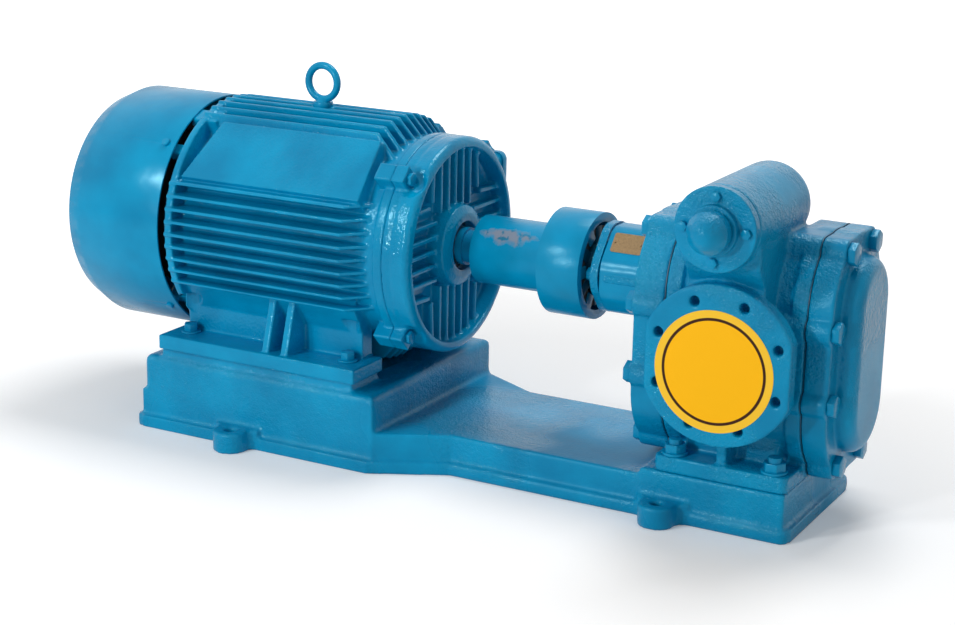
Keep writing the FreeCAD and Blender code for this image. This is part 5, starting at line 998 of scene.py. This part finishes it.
@dataclass
class Pump:
    """The pump body with its covers, neck, gland and port paper."""

    paints: Paints
    skin: Skin = Skin(grain=2.1 * MILLIMETRE, passes=9, triangles=195000)
    cover_skin: Skin = Skin(grain=1.9 * MILLIMETRE, passes=7, triangles=120000)
    gland_skin: Skin = Skin(grain=1.2 * MILLIMETRE, passes=3, triangles=60000)
    bolt_growth: float = 1.15
    rounding_segments: int = 6
    neck_start: float = -0.2143
    neck_end: float = -0.13
    neck_rounding: float = 0.012
    neck_easing: float = 1.5
    neck_outline: Outline = (
        (-0.022, 0.064), (0.022, 0.064), (0.062, 0.018), (0.062, -0.026),
        (0.030, -0.058), (-0.030, -0.058), (-0.062, -0.026), (-0.062, 0.018))
    gland_inset: float = 0.0005
    gland_depth: float = 0.0115
    gland_rounding: float = 0.014
    gland_outline: Outline = (
        (-0.022, 0.066), (0.022, 0.066), (0.064, 0.014), (0.064, -0.014),
        (0.026, -0.060), (-0.026, -0.060), (-0.064, -0.014), (-0.064, 0.014))
    paper_radius: float = 0.0826
    paper_shift: Vector = Vector((-0.003, 0.0, -0.0075))
    paper_gap: float = 0.0005
    paper_thickness: float = 0.0004
    paper_segments: int = 128
    ring_radius: float = 0.0705
    ring_width: float = 0.0036
    plate_size: Vector = Vector((0.046, 0.030, 0.0008))
    plate_place: Vector = Vector((-0.1835, -0.0373, 0.3528))
    plate_tilt: float = 49.0
    plate_corner: float = 0.003
    pin_share: float = 0.42
    pin_radius: float = 0.0016

    def build(self) -> None:
        """Make all that the pump shows."""
        stand_for("pump_casing", self.skin.over("pump_casing"), self.paints.cast, Body.SET)
        for node in ("front_cover", "rear_cover"):
            stand_for(node, self.cover_skin.over(node), self.paints.cast, Body.SET)
        self.gland_plate()
        for node in ("front_cover_bolts", "rear_cover_bolts"):
            growth = Vector((1.0, self.bolt_growth, self.bolt_growth))
            bolts = resized_parts(eased(node, 0.7), growth)
            stand_for(node, bolts, self.paints.bolt, Body.SET)
        self.neck_shell()
        self.port_paper()
        self.neck_plate()

    def prism(self, outline: Outline, start: float, end: float,
              rounding: float) -> bmesh.types.BMesh:
        """Make a rounded prism along the shafts.

        Args:
            outline: Its corners, across and up from the shaft's middle.
            start: Its end towards the motor.
            end: Its end towards the pump.
            rounding: The radius of its long edges.

        Returns:
            The prism as a form.
        """
        form = bmesh.new()
        corners = [form.verts.new((start, across, SHAFT_HEIGHT + up)) for across, up in outline]
        grown = bmesh.ops.extrude_face_region(form, geom=[form.faces.new(corners)])
        far_end = [part for part in grown["geom"] if isinstance(part, bmesh.types.BMVert)]
        bmesh.ops.translate(form, vec=Vector((end - start, 0, 0)), verts=far_end)
        middle = (start + end) / 2
        long_edges = []
        for edge in form.edges:
            near, far = sorted(corner.co.x for corner in edge.verts)
            if near < middle < far:
                long_edges.append(edge)
        round_edges(form, long_edges, rounding, self.rounding_segments)
        bmesh.ops.recalc_face_normals(form, faces=form.faces)
        return form

    def neck_shell(self) -> None:
        """Stand the wide angular neck on the front cover."""
        form = self.prism(self.neck_outline, self.neck_start, self.neck_end, self.neck_rounding)
        mesh = as_mesh(form, "neck_shell")
        soften_edges(mesh)
        piece = added("neck_shell", mesh, self.paints.sheet)
        easing = piece.modifiers.new("easing", "BEVEL")
        easing.width = self.neck_easing * MILLIMETRE
        easing.segments = 2
        easing.limit_method = "ANGLE"

    def gland_plate(self) -> None:
        """Give the gland follower the wide plate that shows beside the coupling."""
        skin = self.gland_skin.over("gland_follower")
        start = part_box("gland_follower")[0].x + self.gland_inset
        form = self.prism(self.gland_outline, start, start + self.gland_depth, self.gland_rounding)
        form.from_mesh(skin)
        form.to_mesh(skin)
        form.free()
        soften_edges(skin, 40.0)
        stand_for("gland_follower", skin, self.paints.cast, Body.GLAND)

    def port_paper(self) -> None:
        """Lay the ringed paper disc over the near port."""
        centre = Vector(MOUNTS["inlet_face"]["pos_m"])
        centre.x = 0.0
        centre += self.paper_shift
        form = bmesh.new()
        upright = Matrix.Rotation(math.radians(90), 4, "X")
        place = Matrix.Translation(centre + Vector((0, -self.paper_gap, 0))) @ upright
        bmesh.ops.create_circle(form, cap_ends=True, segments=self.paper_segments,
                                radius=self.paper_radius, matrix=place)
        bmesh.ops.solidify(form, geom=form.faces[:], thickness=self.paper_thickness)
        bmesh.ops.recalc_face_normals(form, faces=form.faces)
        paper = RingedPaper("ringed_paper", centre, self.ring_radius, self.ring_width)
        added("port_paper", as_mesh(form, "port_paper"), paper.material())

    def neck_plate(self) -> None:
        """Fix the small bare plate and its two pins to the neck's sloping near face."""
        form = bmesh.new()
        tilt = Matrix.Rotation(math.radians(self.plate_tilt), 4, "X")
        place = Matrix.Translation(self.plate_place) @ tilt @ Matrix.Diagonal((*self.plate_size, 1.0))
        bmesh.ops.create_cube(form, size=1.0, matrix=place)
        corners = [edge for edge in form.edges if edge.calc_length() < self.plate_corner]
        round_edges(form, corners, self.plate_corner, 3)
        along = Vector((self.plate_size.x * self.pin_share, 0, 0))
        outward = tilt.to_3x3() @ Vector((0, 0, self.plate_size.z / 2))
        for side in (-1, 1):
            head = Matrix.Translation(self.plate_place + along * side + outward)
            bmesh.ops.create_uvsphere(form, u_segments=12, v_segments=6,
                                      radius=self.pin_radius, matrix=head)
        mesh = as_mesh(form, "neck_plate")
        soften_edges(mesh)
        added("neck_plate", mesh, self.paints.brass)


@dataclass
class ReliefValve:
    """The relief valve's cover, bolts and cap, and the spring inside it."""

    paints: Paints
    skin: Skin = Skin(grain=1.1 * MILLIMETRE, passes=10, triangles=80000)
    bolt_share: float = 0.8
    dome_depth: float = 0.024
    dome_growth: float = 1.12
    dome_edge: float = 0.2

    def build(self) -> None:
        """Make the valve's outer pieces and its spring."""
        cover = self.skin.over("valve_cover")
        stand_for("valve_cover", cover, self.paints.cast, Body.SET)
        cap = self.skin.over("valve_cap")
        self.round_off(cap)
        stand_for("valve_cap", cap, self.paints.cast, Body.CAP)
        share = Vector((self.bolt_share, 1.0, self.bolt_share))
        bolts = resized_parts(eased("valve_cover_bolts", 0.6), share)
        stand_for("valve_cover_bolts", bolts, self.paints.bolt, Body.SET)
        self.spring()

    def spring(self) -> None:
        """Make the spring, riding on its plate with a mesh of its own."""
        mesh = as_mesh(merged_copy("valve_spring"), "valve_spring")
        soften_edges(mesh, 60.0)
        piece = stand_for("valve_spring", mesh, self.paints.steel, Body.SPRING_PLATE)
        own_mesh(piece)

    def round_off(self, cap: bpy.types.Mesh) -> None:
        """Turn the cap's flat end into a full dome.

        Args:
            cap: The cap's skin, which it reshapes.
        """
        low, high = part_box("valve_cap")
        middle = (low + high) / 2
        radius = (high.x - low.x) / 2
        start = low.y + self.dome_depth
        for vertex in cap.vertices:
            if vertex.co.y < start:
                reach = math.hypot(vertex.co.x - middle.x, vertex.co.z - middle.z) / radius
                share = math.sqrt(max(self.dome_edge ** 2, 1.0 - reach * reach))
                vertex.co.y = start + (vertex.co.y - start) * share
            vertex.co.x = middle.x + (vertex.co.x - middle.x) * self.dome_growth
            vertex.co.z = middle.z + (vertex.co.z - middle.z) * self.dome_growth


@dataclass(frozen=True)
class Lamp:
    """One soft square lamp: its name, its place, its side in metres and its power in watts."""

    name: str
    place: tuple[float, float, float]
    size: float
    power: float

    def hang(self, target: Vector) -> None:
        """Hang the lamp.

        Args:
            target: The point that it is aimed at.
        """
        data = bpy.data.lights.new(self.name, "AREA")
        data.size = self.size
        data.energy = self.power
        lamp = bpy.data.objects.new(self.name, data)
        place = Vector(self.place)
        aim = (target - place).to_track_quat("-Z", "Y")
        lamp.matrix_world = Matrix.Translation(place) @ aim.to_matrix().to_4x4()
        bpy.context.scene.collection.objects.link(lamp)


@dataclass
class Studio:
    """Floor, lamps and the camera at the photograph's angle."""

    camera_place: Vector = Vector((0.8933, -2.4588, 0.9954))
    yaw: float = 28.406
    pitch: float = -15.734
    roll: float = 1.108
    focal_pixels: float = 1979.9
    frame_width: int = 955
    sensor_width: float = 36.0
    view_reach: float = 200.0
    floor_half: float = 30.0
    floor_middle: Vector = Vector((-0.4, 0.0, 0.0))
    near_glow: float = 0.16
    far_glow: float = 0.9
    glow_reach: tuple[float, float] = (0.6, 3.0)
    glossy_share: float = 0.3
    world_light: float = 0.32
    lamps: tuple[Lamp, ...] = (
        Lamp("key_lamp", (-1.8, -2.6, 2.0), 0.42, 31.0),
        Lamp("top_lamp", (-0.2, 0.9, 3.0), 1.2, 48.0),
        Lamp("fill_lamp", (2.6, -1.8, 1.0), 1.6, 4.0),
        Lamp("glint_lamp", (-1.15, -2.75, 0.9), 0.2, 20.0),
    )

    def build(self) -> None:
        """Set the studio up."""
        self.camera()
        self.floor()
        self.world()
        low, high = (Vector(corner) for corner in CAD_BOX)
        for lamp in self.lamps:
            lamp.hang((low + high) / 2)
        bpy.context.scene.view_settings.view_transform = "Standard"

    def camera(self) -> None:
        """Place the camera."""
        data = bpy.data.cameras.new("camera")
        data.sensor_width = self.sensor_width
        data.lens = self.focal_pixels * self.sensor_width / self.frame_width
        data.clip_end = self.view_reach
        camera = bpy.data.objects.new("camera", data)
        camera.matrix_world = (
            Matrix.Translation(self.camera_place)
            @ Matrix.Rotation(math.radians(self.yaw), 4, "Z")
            @ Matrix.Rotation(math.radians(90 + self.pitch), 4, "X")
            @ Matrix.Rotation(math.radians(self.roll), 4, "Z")
        )
        bpy.context.scene.collection.objects.link(camera)
        bpy.context.scene.camera = camera

    def floor(self) -> None:
        """Lay a pale floor that meets a white background."""
        form = bmesh.new()
        bmesh.ops.create_grid(form, x_segments=1, y_segments=1, size=self.floor_half)
        shader = Shader("pale_floor")
        shader.set(Base_Color=(0.9, 0.9, 0.9, 1.0), Roughness=0.9, Specular_IOR_Level=0.1)
        from_middle = shader.distance(self.floor_middle)
        glow = shader.span(from_middle, self.near_glow, self.far_glow, *self.glow_reach)
        path = shader.tree.nodes.new("ShaderNodeLightPath")
        glossy = shader.maths("MULTIPLY", path.outputs["Is Glossy Ray"], self.glossy_share)
        seen = shader.maths("MAXIMUM", path.outputs["Is Camera Ray"], glossy)
        shader.set(Emission_Color=(1.0, 1.0, 1.0, 1.0))
        shader.feed("Emission Strength", shader.maths("MULTIPLY", glow, seen))
        finished("floor", as_mesh(form, "floor"), shader.material)

    def world(self) -> None:
        """Even light from all round, white where the camera or a reflection looks past the floor."""
        world = bpy.data.worlds.new("studio")
        world.use_nodes = True
        wiring = Wiring(world.node_tree)
        back = wiring.tree.nodes["Background"]
        back.inputs["Color"].default_value = (1.0, 1.0, 1.0, 1.0)
        path = wiring.tree.nodes.new("ShaderNodeLightPath")
        seen = wiring.maths("MAXIMUM", path.outputs["Is Camera Ray"], path.outputs["Is Glossy Ray"])
        seen = wiring.maths("MAXIMUM", seen, path.outputs["Is Transmission Ray"])
        wiring.link(wiring.span(seen, self.world_light, 1.0, 0.0, 1.0), back.inputs["Strength"])
        bpy.context.scene.world = world


def main() -> None:
    """Dress the whole set and put it in the studio."""
    logging.basicConfig(level=logging.INFO, format="%(message)s")
    paints = Paints()
    dress_cad(paints)
    BaseCasting(paints).build()
    Motor(paints).build()
    Coupling(paints).build()
    Pump(paints).build()
    ReliefValve(paints).build()
    Studio().build()


if __name__ == "__main__":
    main()
